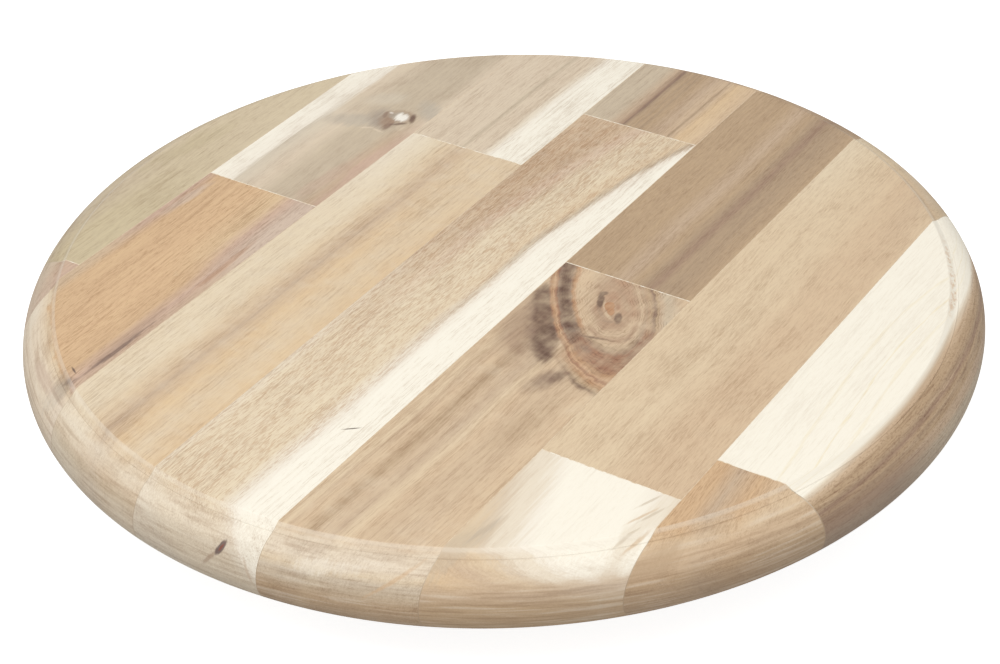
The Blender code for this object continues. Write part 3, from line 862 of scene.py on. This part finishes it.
# %% Turn the blank
RIM_W = 14.8 * MM
STEP_H = 2.2 * MM
UPPER_ROUND_H = 15.6 * MM
LOWER_ROUND_W = 12.2 * MM
EDGE_SOFT = 0.8 * MM
FOOT_SOFT = 2.6 * MM
STEP_SLOPE = 54
BOARD_SEGMENTS = 360


def arc(centre_r, centre_z, width, height, start, end, steps):
    """Points on an elliptical arc; 0 degrees points outwards and 90 points up."""
    angles = [math.radians(start + (end - start) * i / steps) for i in range(steps + 1)]
    return [(centre_r + width * math.cos(a), centre_z + height * math.sin(a)) for a in angles]


def turned_mesh(name, profile, segments, closed=False):
    """Sweeps (radius, height) points round Z. An open profile gets a flat cap at both ends."""
    mesh = bpy.data.meshes.new(name)
    bm = bmesh.new()
    turns = [math.tau * k / segments for k in range(segments)]
    rings = [
        [bm.verts.new((r * math.cos(a), r * math.sin(a), z)) for a in turns] for r, z in profile
    ]
    pairs = list(zip(rings, rings[1:]))
    if closed:
        pairs.append((rings[-1], rings[0]))
    for one, other in pairs:
        for k in range(segments):
            following = (k + 1) % segments
            bm.faces.new((one[k], other[k], other[following], one[following]))
    if not closed:
        bm.faces.new(rings[0])
        bm.faces.new(list(reversed(rings[-1])))
    bm.to_mesh(mesh)
    bm.free()
    return mesh


step_r = board_r - RIM_W
round_z = board_top - STEP_H - UPPER_ROUND_H
slope = math.radians(STEP_SLOPE)
edge_drop = EDGE_SOFT * (1 - math.sin(slope))
foot_drop = FOOT_SOFT * (1 - math.sin(slope))
slope_h = STEP_H - edge_drop - foot_drop
foot_r = step_r + (EDGE_SOFT + FOOT_SOFT) * math.cos(slope) - EDGE_SOFT
foot_r += slope_h * math.tan(slope)
foot_angle = math.degrees(math.acos((foot_r - step_r) / RIM_W))
profile = [(step_r - 4 * EDGE_SOFT, board_top)]
profile += arc(step_r - EDGE_SOFT, board_top - EDGE_SOFT, EDGE_SOFT, EDGE_SOFT, 90, STEP_SLOPE, 4)
foot_z = board_top - STEP_H + FOOT_SOFT
profile += arc(foot_r, foot_z, FOOT_SOFT, FOOT_SOFT, 180 + STEP_SLOPE, 265, 5)
profile += arc(step_r, round_z, RIM_W, UPPER_ROUND_H, foot_angle, 0, 28)
lower_h = round_z - board_low
profile += arc(board_r - LOWER_ROUND_W, round_z, LOWER_ROUND_W, lower_h, 0, -90, 16)[1:]
profile.append((board_r - LOWER_ROUND_W - 3 * EDGE_SOFT, board_low))
blank_mesh = turned_mesh("board_blank", profile, BOARD_SEGMENTS)
print("blank:", len(profile), "rings of", BOARD_SEGMENTS, "points")

# %% [markdown]
# ## Cutting staves with Geometry Nodes
# Each stave is the part of that disc inside its own box, so one rule makes all fourteen, and the
# glue between them too. The rule is a Geometry Nodes tree whose inputs are the box's sides. A
# boolean keeps the rim's curve exactly, which moving vertices by hand would not.

# %% Tree: cut a stave
GEOMETRY, MATERIAL = "NodeSocketGeometry", "NodeSocketMaterial"
SMOOTH_BELOW = math.radians(32)


def geometry_tree(name, inputs):
    sockets = {"Geometry": GEOMETRY, **inputs, "Material": MATERIAL}
    return new_group(name, sockets, {"Geometry": GEOMETRY}, "GeometryNodeTree")


def finish_tree(tree, geometry, given, result):
    """Ends a tree: real faces, smooth below a set angle, and the piece's material."""
    real = add(tree, "GeometryNodeRealizeInstances", {0: geometry}).outputs[0]
    smooth = add(tree, "GeometryNodeSetShadeSmooth", {0: real, "Shade Smooth": True}).outputs[0]
    angle = add(tree, "GeometryNodeInputMeshEdgeAngle").outputs["Unsigned Angle"]
    compared = {0: angle, 1: SMOOTH_BELOW}
    sharp = add(tree, "FunctionNodeCompare", compared, operation="GREATER_THAN").outputs[0]
    flat = {0: smooth, "Selection": sharp, "Shade Smooth": False}
    creased = add(tree, "GeometryNodeSetShadeSmooth", flat, domain="EDGE").outputs[0]
    coated = {0: creased, "Material": given["Material"]}
    give(tree, result, Geometry=add(tree, "GeometryNodeSetMaterial", coated).outputs[0])


def moved_by(tree, geometry, shift):
    return add(tree, "GeometryNodeTransform", {0: geometry, "Translation": shift}).outputs[0]


def half_way(tree, given, low, high):
    return times(tree, plus(tree, given[high], given[low]), 0.5)


def boolean(tree, operation, **meshes):
    node = add(tree, "GeometryNodeMeshBoolean", operation=operation, solver="EXACT")
    for key, linked in meshes.items():
        for mesh in linked:
            tree.links.new(mesh, node.inputs[key.replace("_", " ")])
    return node.outputs[0]


sides = {"Left": -1.0, "Right": 1.0, "Near": -1.0, "Far": 1.0, "Low": 0.0, "High": 1.0}
cut_stave, given, result = geometry_tree("cut_stave", sides)
tree = cut_stave
pairs = (("Left", "Right"), ("Near", "Far"), ("Low", "High"))
size = xyz(tree, *[minus(tree, given[high], given[low]) for low, high in pairs])
middle = xyz(tree, *[half_way(tree, given, low, high) for low, high in pairs])
box = moved_by(tree, add(tree, "GeometryNodeMeshCube", {"Size": size}).outputs["Mesh"], middle)
finish_tree(tree, boolean(tree, "INTERSECT", Mesh_2=[given["Geometry"], box]), given, result)


def run_tree(name, mesh, tree, material, **inputs):
    """Runs a tree on a mesh and returns a new object with the plain result."""
    obj = bpy.data.objects.new(name, mesh)
    bpy.context.scene.collection.objects.link(obj)
    modifier = obj.modifiers.new(tree.name, "NODES")
    modifier.node_group = tree
    values = {key.replace("_", " "): value for key, value in inputs.items()}
    if material:
        values["Material"] = material
    for item in tree.interface.items_tree:
        if item.item_type == "SOCKET" and item.in_out == "INPUT" and item.name in values:
            modifier[item.identifier] = values[item.name]
    obj.update_tag()
    graph = bpy.context.evaluated_depsgraph_get()
    made = bpy.data.meshes.new_from_object(obj.evaluated_get(graph))
    obj.modifiers.clear()
    obj.data = made
    made.name = name
    return obj


# %% [markdown]
# ## Rings of holes and rings of parts
# Much of a turntable comes in rings: screws, feet, balls, and the holes for them. Two more trees
# cover all of it. One drills a ring of holes in whatever it is given, and the other sets out
# copies of a part in a ring, each turned by chance, as nobody lines up the slots of screws.

# %% Trees: drill a ring and set out a ring
HOLE_SIDES = 32


def ring_of_points(tree, given):
    inputs = {"Vertices": given["Count"], "Radius": given["Ring Radius"]}
    circle = add(tree, "GeometryNodeMeshCircle", inputs).outputs["Mesh"]
    turned = add(tree, "FunctionNodeEulerToRotation", {0: xyz(tree, z=given["Turn"])}).outputs[0]
    return add(tree, "GeometryNodeTransform", {0: circle, "Rotation": turned}).outputs[0]


ring_sizes = {"Count": 4, "Ring Radius": 0.1, "Turn": 0.0}
hole_sizes = {"Hole Radius": 0.002, "Low": 0.0, "High": 0.01}
drill_ring, given, result = geometry_tree("drill_ring", {**ring_sizes, **hole_sizes})
tree = drill_ring
sizes = {"Vertices": HOLE_SIDES, "Radius": given["Hole Radius"]}
sizes["Depth"] = minus(tree, given["High"], given["Low"])
drill = add(tree, "GeometryNodeMeshCylinder", sizes).outputs["Mesh"]
drill = moved_by(tree, drill, xyz(tree, z=half_way(tree, given, "Low", "High")))
placed = {"Points": ring_of_points(tree, given), "Instance": drill}
drills = add(tree, "GeometryNodeInstanceOnPoints", placed).outputs[0]
drills = add(tree, "GeometryNodeRealizeInstances", {0: drills}).outputs[0]
drilled = boolean(tree, "DIFFERENCE", Mesh_1=[given["Geometry"]], Mesh_2=[drills])
finish_tree(tree, drilled, given, result)

set_ring, given, result = geometry_tree("set_ring", {**ring_sizes, "Height": 0.0, "Seed": 1})
tree = set_ring
limits = {2: 0.0, 3: math.tau, "Seed": given["Seed"]}
chance = add(tree, "FunctionNodeRandomValue", limits, data_type="FLOAT").outputs[1]
spin = add(tree, "FunctionNodeEulerToRotation", {0: xyz(tree, z=chance)}).outputs[0]
placed = {"Points": ring_of_points(tree, given), "Instance": given["Geometry"], "Rotation": spin}
copies = add(tree, "GeometryNodeInstanceOnPoints", placed).outputs[0]
finish_tree(tree, moved_by(tree, copies, xyz(tree, z=given["Height"])), given, result)


def ring_place(name):
    """Where a frame node stands, as its distance from the axis, its angle and its lowest point."""
    low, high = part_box(name)
    centre = (low + high) / 2
    return math.hypot(centre.x, centre.y), math.atan2(centre.y, centre.x), low.z


# %% [markdown]
# ## Pilot holes
# The board screws go into drilled pilot holes. They are drilled in the blank, before the staves
# are cut from it, as a joiner would drill the glued board.

# %% Drill the blank
PILOT_R = 2.1 * MM
PILOT_SPARE = 0.5 * MM
SCREWS = 4
screw_r, screw_turn, screw_low = ring_place("board_screw_1")
screw_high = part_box("board_screw_1")[1].z
blank = run_tree(
    "board_blank", blank_mesh, drill_ring, None, Count=SCREWS, Ring_Radius=screw_r,
    Turn=screw_turn, Hole_Radius=PILOT_R, Low=screw_low, High=screw_high + PILOT_SPARE,
)  # fmt: skip
blank_mesh = blank.data
bpy.data.objects.remove(blank)
print("pilot holes:", SCREWS, "at", round(screw_r / MM, 1), "mm from the middle")

# %% [markdown]
# ## The staves
# The frame's boxes say where each stave is. The end joints between two staves of a row show as
# fine pale glue lines, so a hair more is taken off there than along the sides.

# %% Cut the staves
PAST_RIM = 5 * MM
BUTT_GLUE = 0.44 * MM
SIDE_GLUE = 0.24 * MM
ROWS = 7

rows = []
for row in range(1, ROWS + 1):
    near_low, near_high = stave_boxes[f"stave_{row}_near"]
    far_low, far_high = stave_boxes[f"stave_{row}_far"]
    left = min(near_low.x, far_low.x) if row > 1 else -board_r - PAST_RIM
    right = max(near_high.x, far_high.x) if row < ROWS else board_r + PAST_RIM
    rows.append({"left": left, "right": right, "butt": (near_high.y + far_low.y) / 2})
joints = [(one["right"] + other["left"]) / 2 for one, other in zip(rows, rows[1:])]

outside = board_r + PAST_RIM
whole = {"Low": board_low - PAST_RIM, "High": board_top + PAST_RIM}
for number, row in enumerate(rows, start=1):
    left = joints[number - 2] + SIDE_GLUE / 2 if number > 1 else row["left"]
    right = joints[number - 1] - SIDE_GLUE / 2 if number < ROWS else row["right"]
    row["span"] = (left, right)
    wood_left = joints[number - 1] / MM - STAVE_W if number < ROWS else joints[-1] / MM
    for end in ("near", "far"):
        name = f"stave_{number}_{end}"
        material = acacia(name, STAVES[name], wood_left)
        near = -outside if end == "near" else row["butt"] + BUTT_GLUE / 2
        far = row["butt"] - BUTT_GLUE / 2 if end == "near" else outside
        ends = {"Near": near, "Far": far, **whole}
        stave = run_tree(
            f"{name}_wood", blank_mesh, cut_stave, material, Left=left, Right=right, **ends
        )
        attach(stave, "turntable")
        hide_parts(name)
print("staves:", 2 * len(rows), "joints at", [round(x / MM, 1) for x in joints])

# %% [markdown]
# ## Glue lines
# Glue fills the hair-wide gaps and is sanded flush with the face. It is cut from the same disc by
# the same tree, so that it follows the rim exactly.

# %% Fill the joints
def glue_material(name, dull, bright):
    material, tree, shader = new_material(name)
    where = use(tree, board_place, Face_Height=FACE)
    patchy = noise(tree, where["Place"], (2.0, 2.0, 2.0), 2.0)
    colour = blend(tree, fade(tree, patchy, 0.3, 0.7), tone(dull), tone(bright))
    colour = blend(tree, fade(tree, where["Depth"], 0.2, 2.0), colour, tone("greige"))
    colour = blend(tree, fade(tree, where["Depth"], 3.0, 12.0), colour, tone("cocoa"))
    fill(tree, shader, {"Base Color": colour, "Roughness": 0.5})
    return material


pale_glue = glue_material("pale_glue", "sand", "cream")
wood_glue = glue_material("wood_glue", "biscuit", "straw")


def joined(name, objects):
    """One object from several, all at the origin."""
    bm = bmesh.new()
    for obj in objects:
        bm.from_mesh(obj.data)
    mesh = bpy.data.meshes.new(name)
    bm.to_mesh(mesh)
    bm.free()
    for material in objects[0].data.materials:
        mesh.materials.append(material)
    for obj in objects:
        bpy.data.objects.remove(obj)
    made = bpy.data.objects.new(name, mesh)
    bpy.context.scene.collection.objects.link(made)
    return made


side_strips = []
for x in joints:
    strip = {"Left": x - SIDE_GLUE / 2, "Right": x + SIDE_GLUE / 2, "Near": -outside, **whole}
    side_strips.append(
        run_tree("side_glue", blank_mesh, cut_stave, wood_glue, Far=outside, **strip)
    )
butt_strips = []
for row in rows:
    left, right = row["span"]
    near, far = row["butt"] - BUTT_GLUE / 2, row["butt"] + BUTT_GLUE / 2
    strip = {"Left": left, "Right": right, "Near": near, "Far": far}
    butt_strips.append(run_tree("butt_glue", blank_mesh, cut_stave, pale_glue, **strip, **whole))
for name, strips in (("glue_along_staves", side_strips), ("glue_between_ends", butt_strips)):
    piece = joined(name, strips)
    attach(piece, "turntable")
print("glue:", len(joints), "side joints and", len(rows), "end joints")

# %% [markdown]
# ## Finishes for the underside
# Bright zinc on pressed steel shows faint rings from the press and soft smudges, so both metals
# share one group of marks. Rubber and nylon are moulded: they are matt, a little mottled, and
# dusty in random patches, and share another.

# %% Groups: metal marks and moulded surface
metal_marks, given, result = new_group(
    "metal_marks",
    {"Line Width": 0.3, "Smudge": 14.0},
    {"Tone": FLOAT, "Dull": FLOAT, "Height": FLOAT},
)
tree = metal_marks
millimetres = millimetres_here(tree)
split = split_up(tree, millimetres)
rings = xyz(tree, length_of(tree, split["X"], split["Y"]), split["Z"])
lines = noise(tree, rings, given["Line Width"], 2.0, 0.6)
smudges = noise(tree, millimetres, given["Smudge"], 3.0, 0.55)
specks = noise(tree, millimetres, (0.7, 0.7, 0.7), 2.0, 0.6)
mixed = plus(tree, times(tree, lines, 0.5), times(tree, smudges, 0.5))
height = plus(tree, lines, times(tree, specks, 0.4))
give(tree, result, Tone=mixed, Dull=fade(tree, smudges, 0.35, 0.65), Height=height)

moulded, given, result = new_group(
    "moulded", {"Speck": 0.5, "Patch": 6.0}, {"Tone": FLOAT, "Height": FLOAT}
)
tree = moulded
millimetres = millimetres_here(tree)
specks = noise(tree, millimetres, given["Speck"], 2.0, 0.6)
patches = noise(tree, millimetres, given["Patch"], 2.0, 0.5)
mixed = plus(tree, times(tree, specks, 0.4), times(tree, patches, 0.6))
give(tree, result, Tone=mixed, Height=specks)

# %% Metal, rubber and nylon
TONES.update(
    {
        "zinc": "C9CBCC", "dull zinc": "A9ABAA", "chrome": "DADCDD", "steel": "BFC1C2",
        "rubber": "2A2927", "dusty rubber": "4A4845", "nylon": "E6E4DB", "shaded nylon": "D3D0C4",
    }
)  # fmt: skip


def metal(name, dull, bright, roughness, line_width, smudge):
    material, tree, shader = new_material(name)
    marks = use(tree, metal_marks, Line_Width=line_width, Smudge=smudge)
    looks = {"Metallic": 1.0}
    looks["Base Color"] = blend(tree, fade(tree, marks["Tone"], 0.3, 0.7), tone(dull), tone(bright))
    looks["Roughness"] = plus(tree, times(tree, marks["Dull"], 0.14), roughness)
    looks["Normal"] = bumps(tree, 0.15, 0.05 * MM, marks["Height"])
    fill(tree, shader, looks)
    return material


def moulding(name, low, high, roughness, speck, patch, depth):
    material, tree, shader = new_material(name)
    surface = use(tree, moulded, Speck=speck, Patch=patch)
    looks = {"Roughness": roughness}
    share = fade(tree, surface["Tone"], 0.35, 0.65)
    looks["Base Color"] = blend(tree, share, tone(low), tone(high))
    looks["Normal"] = bumps(tree, 0.4, depth, surface["Height"])
    fill(tree, shader, looks)
    return material


zinc = metal("zinc_plated_sheet", "dull zinc", "zinc", 0.26, 0.35, 16.0)
screw_steel = metal("screw_steel", "steel", "chrome", 0.22, 0.2, 3.0)
polished = metal("polished_balls", "steel", "chrome", 0.06, 0.5, 2.0)
rubber = moulding("foot_rubber", "rubber", "dusty rubber", 0.75, 0.35, 5.0, 0.06 * MM)
nylon = moulding("cage_nylon", "shaded nylon", "nylon", 0.45, 0.6, 9.0, 0.03 * MM)

# %% [markdown]
# ## The base ring and its feet
# The base is a plain turned ring of the same timber. Its outer edge is well rounded and its bore
# only broken, and each foot sits in a shallow pocket, so that glue holds it and it cannot slide.

# %% Turn the base ring
BASE_ROUND = 3 * MM
BORE_ROUND = 1 * MM
BASE_BORE = 54.2 * MM
POCKET_FIT = 0.3 * MM
POCKET_H = 1.5 * MM
DRILL_OVER = 2 * MM
FEET = 4
BASE_SEGMENTS = 240

base_low, base_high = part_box("base_ring")
edge = base_high.x - BASE_ROUND
bore = BASE_BORE + BORE_ROUND
base_profile = arc(edge, base_high.z - BASE_ROUND, BASE_ROUND, BASE_ROUND, 90, 0, 8)
base_profile += arc(edge, base_low.z + BASE_ROUND, BASE_ROUND, BASE_ROUND, 0, -90, 8)
base_profile += arc(bore, base_low.z + BORE_ROUND, BORE_ROUND, BORE_ROUND, 270, 180, 4)
base_profile += arc(bore, base_high.z - BORE_ROUND, BORE_ROUND, BORE_ROUND, 180, 90, 4)
foot_ring, foot_turn, foot_low = ring_place("rubber_foot_1")
foot_r = (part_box("rubber_foot_1")[1].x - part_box("rubber_foot_1")[0].x) / 2
base_screw_ring, base_screw_turn, base_screw_low = ring_place("base_screw_1")
base_wood = acacia(
    "base_ring",
    {
        "seed": 16.2, "face": base_high.z / MM, "span": 270,
        "slant": 0.5, "pores": 0.4, "sway": 2.0,
        "tones": {
            0: "fawn", 40: "biscuit", 58: "sand", 80: "biscuit", 96: "brown", 110: "biscuit",
            150: "honey", 176: "biscuit", 190: "fawn", 214: "sand", 240: "biscuit", 270: "fawn",
        },
    },
    -base_high.x / MM,
)  # fmt: skip
base_mesh = turned_mesh("base_ring_wood", base_profile, BASE_SEGMENTS, closed=True)
pocketed = run_tree(
    "base_blank", base_mesh, drill_ring, base_wood, Count=FEET, Ring_Radius=foot_ring,
    Turn=foot_turn, Hole_Radius=foot_r + POCKET_FIT, Low=base_low.z - DRILL_OVER,
    High=base_low.z + POCKET_H,
)  # fmt: skip
base = run_tree(
    "base_ring_wood", pocketed.data, drill_ring, base_wood, Count=SCREWS,
    Ring_Radius=base_screw_ring, Turn=base_screw_turn, Hole_Radius=PILOT_R,
    Low=base_screw_low - PILOT_SPARE, High=base_high.z + DRILL_OVER,
)  # fmt: skip
bpy.data.objects.remove(pocketed)
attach(base, "base")
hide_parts("base_ring")
print("base ring:", len(base.data.polygons), "faces")

# %% Mould the feet
FOOT_ROUND = 1.2 * MM
TOP_ROUND = 0.3 * MM
DISH_R = 5.5 * MM
DISH_H = 0.5 * MM
FOOT_SEGMENTS = 48

foot_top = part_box("rubber_foot_1")[1].z
foot_profile = arc(foot_r - TOP_ROUND, foot_top - TOP_ROUND, TOP_ROUND, TOP_ROUND, 90, 0, 3)
foot_profile += arc(foot_r - FOOT_ROUND, foot_low + FOOT_ROUND, FOOT_ROUND, FOOT_ROUND, 0, -90, 6)
foot_profile += [(DISH_R, foot_low), (DISH_R - DISH_H, foot_low + DISH_H)]
foot_mesh = turned_mesh("rubber_foot", foot_profile, FOOT_SEGMENTS)
feet = run_tree(
    "rubber_feet", foot_mesh, set_ring, rubber, Count=FEET, Ring_Radius=foot_ring,
    Turn=foot_turn, Seed=2,
)  # fmt: skip
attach(feet, "base")
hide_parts(*[f"rubber_foot_{k}" for k in range(1, FEET + 1)])

# %% [markdown]
# ## The bearing plates
# Both plates are pressed from one gauge of sheet: a flat flange for the screws, a short rise, a
# flat land, and the groove that the balls run in. The upper plate's edge is turned down and under
# the lower plate, which keeps the bearing together when the board is lifted. The middle of the
# sheet is drawn, and given its thickness by moving each point to both sides.

# %% Press the plates
SHEET_T = 1.2 * MM
RACE_ARC = 3.3 * MM
RACE_LAND = 8 * MM
LIP_REACH = 1.6 * MM
SHEET_SEGMENTS = 160


def sheet_profile(middle):
    """The closed outline of a sheet whose middle runs outwards through the given points."""
    above, below = [], []
    for number, point in enumerate(middle):
        here = Vector(point)
        ways = []
        if number > 0:
            ways.append((here - Vector(middle[number - 1])).normalized())
        if number < len(middle) - 1:
            ways.append((Vector(middle[number + 1]) - here).normalized())
        way = sum(ways, Vector((0, 0))).normalized()
        aside = Vector((-way.y, way.x))
        reach = SHEET_T / 2 / way.dot(ways[0])
        above.append(tuple(here + aside * reach))
        below.append(tuple(here - aside * reach))
    return above + below[::-1]


def race(land_z, side):
    """The groove for the balls: side is 1 in the upper plate and -1 in the lower."""
    half = math.degrees(math.acos(abs(land_z - ball_z) / RACE_ARC))
    return arc(race_r, ball_z, RACE_ARC, RACE_ARC, side * (90 + half), side * (90 - half), 14)


race_r, ball_turn, ball_low = ring_place("bearing_ball_01")
ball_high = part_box("bearing_ball_01")[1].z
ball_z = (ball_low + ball_high) / 2
LAND_GAP = 2.1 * MM
lower_low, lower_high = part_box("lower_plate")
upper_low, upper_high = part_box("upper_plate")
lower_flange = lower_low.z + SHEET_T / 2
upper_flange = upper_high.z - SHEET_T / 2
lower_land = ball_z - LAND_GAP
upper_land = ball_z + LAND_GAP
LOWER_FLANGE_W = 14 * MM
UPPER_FLANGE_W = 17 * MM
UPPER_FLANGE_OUT = 50.2 * MM
lower_out = race_r - RACE_LAND - (lower_land - lower_flange)
lower_middle = [(lower_out - LOWER_FLANGE_W, lower_flange), (lower_out, lower_flange)]
lower_middle += [(race_r - RACE_LAND, lower_land), *race(lower_land, -1)]
lower_middle.append((lower_high.x, lower_land))
lip_r = upper_high.x - SHEET_T / 2 - SHEET_T
lip_low = upper_low.z + SHEET_T / 2
upper_in = UPPER_FLANGE_OUT - UPPER_FLANGE_W
upper_middle = [(upper_in, upper_flange), (UPPER_FLANGE_OUT, upper_flange)]
upper_middle += [(UPPER_FLANGE_OUT + upper_flange - upper_land, upper_land)]
upper_middle += race(upper_land, 1)
upper_middle += arc(lip_r, upper_land - SHEET_T, SHEET_T, SHEET_T, 90, 0, 5)
upper_middle += arc(lip_r, lip_low + SHEET_T, SHEET_T, SHEET_T, 0, -90, 5)
upper_middle.append((lip_r - LIP_REACH, lip_low))
plates = {
    "lower_plate": ("base", lower_middle, base_screw_ring, base_screw_turn, lower_flange),
    "upper_plate": ("turntable", upper_middle, screw_r, screw_turn, upper_flange),
}
for name, (body, middle, ring_radius, turn, flange) in plates.items():
    sheet = turned_mesh(name, sheet_profile(middle), SHEET_SEGMENTS, closed=True)
    plate = run_tree(
        f"{name}_sheet", sheet, drill_ring, zinc, Count=SCREWS, Ring_Radius=ring_radius, Turn=turn,
        Hole_Radius=PILOT_R, Low=flange - SHEET_T, High=flange + SHEET_T,
    )  # fmt: skip
    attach(plate, body)
    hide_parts(name)
    outermost = max(r for r, z in middle)
    print(name, "from", round(middle[0][0] / MM, 1), "to", round(outermost / MM, 1), "mm")

# %% [markdown]
# ## The balls and their cage
# Twelve balls run in the groove, kept apart by a nylon ring with a pocket for each. The cage has
# its edges eased, as a mould leaves them.

# %% Mould the cage and set the balls
BALLS = 12
POCKET_R = 2.8 * MM
CAGE_EASE = 0.3 * MM
CAGE_SEGMENTS = 180
ball_r = (ball_high - ball_low) / 2
cage_low, cage_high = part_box("ball_cage")
cage_out = cage_high.x
cage_in = 2 * race_r - cage_out
corners = [
    (cage_out - CAGE_EASE, cage_high.z - CAGE_EASE, 90),
    (cage_out - CAGE_EASE, cage_low.z + CAGE_EASE, 0),
    (cage_in + CAGE_EASE, cage_low.z + CAGE_EASE, -90),
    (cage_in + CAGE_EASE, cage_high.z - CAGE_EASE, -180),
]
cage_profile = []
for r, z, start in corners:
    cage_profile += arc(r, z, CAGE_EASE, CAGE_EASE, start, start - 90, 3)
cage_mesh = turned_mesh("cage", cage_profile, CAGE_SEGMENTS, closed=True)
cage = run_tree(
    "ball_cage_ring", cage_mesh, drill_ring, nylon, Count=BALLS, Ring_Radius=race_r,
    Turn=ball_turn, Hole_Radius=POCKET_R, Low=cage_low.z - DRILL_OVER,
    High=cage_high.z + DRILL_OVER,
)  # fmt: skip
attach(cage, "cage")
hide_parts("ball_cage")

ball_mesh = bpy.data.meshes.new("ball")
bm = bmesh.new()
bmesh.ops.create_uvsphere(bm, u_segments=24, v_segments=16, radius=ball_r)
bm.to_mesh(ball_mesh)
bm.free()
balls = run_tree(
    "bearing_balls", ball_mesh, set_ring, polished, Count=BALLS, Ring_Radius=race_r, Turn=ball_turn,
    Height=ball_z, Seed=3,
)  # fmt: skip
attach(balls, "cage")
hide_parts(*[f"bearing_ball_{k:02d}" for k in range(1, BALLS + 1)])
print("balls:", BALLS, "on a ring of", round(race_r / MM, 1), "mm")

# %% [markdown]
# ## The screws
# Pan-head screws hold the plates. Each is a turned profile with a low dome and the ridges of a
# thread, and a small tree sinks the crossed recess into its head. The board's screws point up, so
# their mesh is turned over before it is set out.

# %% Tree: crossed recess
cross_sizes = {"Span": 3.4 * MM, "Width": 0.9 * MM, "Low": 0.0, "High": 3 * MM}
cross_cut, given, result = geometry_tree("cross_cut", cross_sizes)
tree = cross_cut
height = minus(tree, given["High"], given["Low"])
lift = xyz(tree, z=half_way(tree, given, "Low", "High"))
blades = []
for one, other in (("Span", "Width"), ("Width", "Span")):
    size = xyz(tree, given[one], given[other], height)
    blade = add(tree, "GeometryNodeMeshCube", {"Size": size}).outputs["Mesh"]
    blades.append(moved_by(tree, blade, lift))
cut = boolean(tree, "DIFFERENCE", Mesh_1=[given["Geometry"]], Mesh_2=blades)
finish_tree(tree, cut, given, result)

# %% Make and set the screws
SHANK_R = 1.75 * MM
ROOT_R = 1.35 * MM
HEAD_H = 2 * MM
TIP_H = 2.5 * MM
PITCH = 1.0 * MM
PLAIN_H = 1.5 * MM
RECESS_H = 1.1 * MM
POINT_R = 0.12 * MM
SCREW_SIDES = 24


def screw_mesh(name, length, head_r):
    """A screw that points down, with the underside of its head at height 0."""
    outline = arc(0, HEAD_H / 2, head_r, HEAD_H / 2, 84, 0, 6)
    outline += [(head_r, 0), (SHANK_R, 0), (SHANK_R, -PLAIN_H)]
    turns = int((length - TIP_H - PLAIN_H) / PITCH)
    for k in range(turns):
        top = -PLAIN_H - k * PITCH
        outline += [(ROOT_R, top - 0.3 * PITCH), (ROOT_R, top - 0.5 * PITCH)]
        outline.append((SHANK_R, top - 0.9 * PITCH))
    outline += [(ROOT_R, -length + 0.8 * TIP_H), (POINT_R, -length)]
    turned = turned_mesh(name, outline, SCREW_SIDES)
    solid = run_tree(name, turned, cross_cut, screw_steel, Low=HEAD_H - RECESS_H)
    mesh = solid.data
    bpy.data.objects.remove(solid)
    return mesh


screw_sets = {
    "board_screw": ("turntable", screw_r, screw_turn, 5),
    "base_screw": ("base", base_screw_ring, base_screw_turn, 6),
}
for name, (body, ring_radius, turn, seed) in screw_sets.items():
    low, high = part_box(f"{name}_1")
    mesh = screw_mesh(name, high.z - low.z - HEAD_H, (high.y - low.y) / 2)
    height = high.z - HEAD_H
    if name == "board_screw":
        mesh.transform(Matrix.Rotation(math.pi, 4, "X"))
        height = low.z + HEAD_H
    ring = run_tree(
        f"{name}s", mesh, set_ring, screw_steel, Count=SCREWS, Ring_Radius=ring_radius, Turn=turn,
        Height=height, Seed=seed,
    )  # fmt: skip
    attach(ring, body)
    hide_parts(*[f"{name}_{k}" for k in range(1, SCREWS + 1)])
    print(name, "x", SCREWS, "at", round(ring_radius / MM, 1), "mm")

# %% [markdown]
# ## Floor
# A plain pale floor. To the viewer it glows a little, so that it stays as light as the ground of
# a catalogue page and still takes a faint shadow, but it throws no more light upwards than a
# painted board would.

# %% Lay the floor
FLOOR_SIZE = 6.0
FLOOR_GLOW = 0.86
FLOOR_GREY = (0.6, 0.6, 0.6, 1)
floor_mesh = bpy.data.meshes.new("floor")
bm = bmesh.new()
bmesh.ops.create_grid(bm, x_segments=1, y_segments=1, size=FLOOR_SIZE / 2)
bm.to_mesh(floor_mesh)
bm.free()
floor = bpy.data.objects.new("floor", floor_mesh)
bpy.context.scene.collection.objects.link(floor)
paint, tree, shader = new_material("floor_paint")
seen_directly = add(tree, "ShaderNodeLightPath").outputs["Is Camera Ray"]
looks = {"Base Color": FLOOR_GREY, "Roughness": 1.0, "Specular IOR Level": 0.0}
looks["Emission Color"] = (1, 1, 1, 1)
looks["Emission Strength"] = times(tree, seen_directly, FLOOR_GLOW)
fill(tree, shader, looks)
floor_mesh.materials.append(paint)
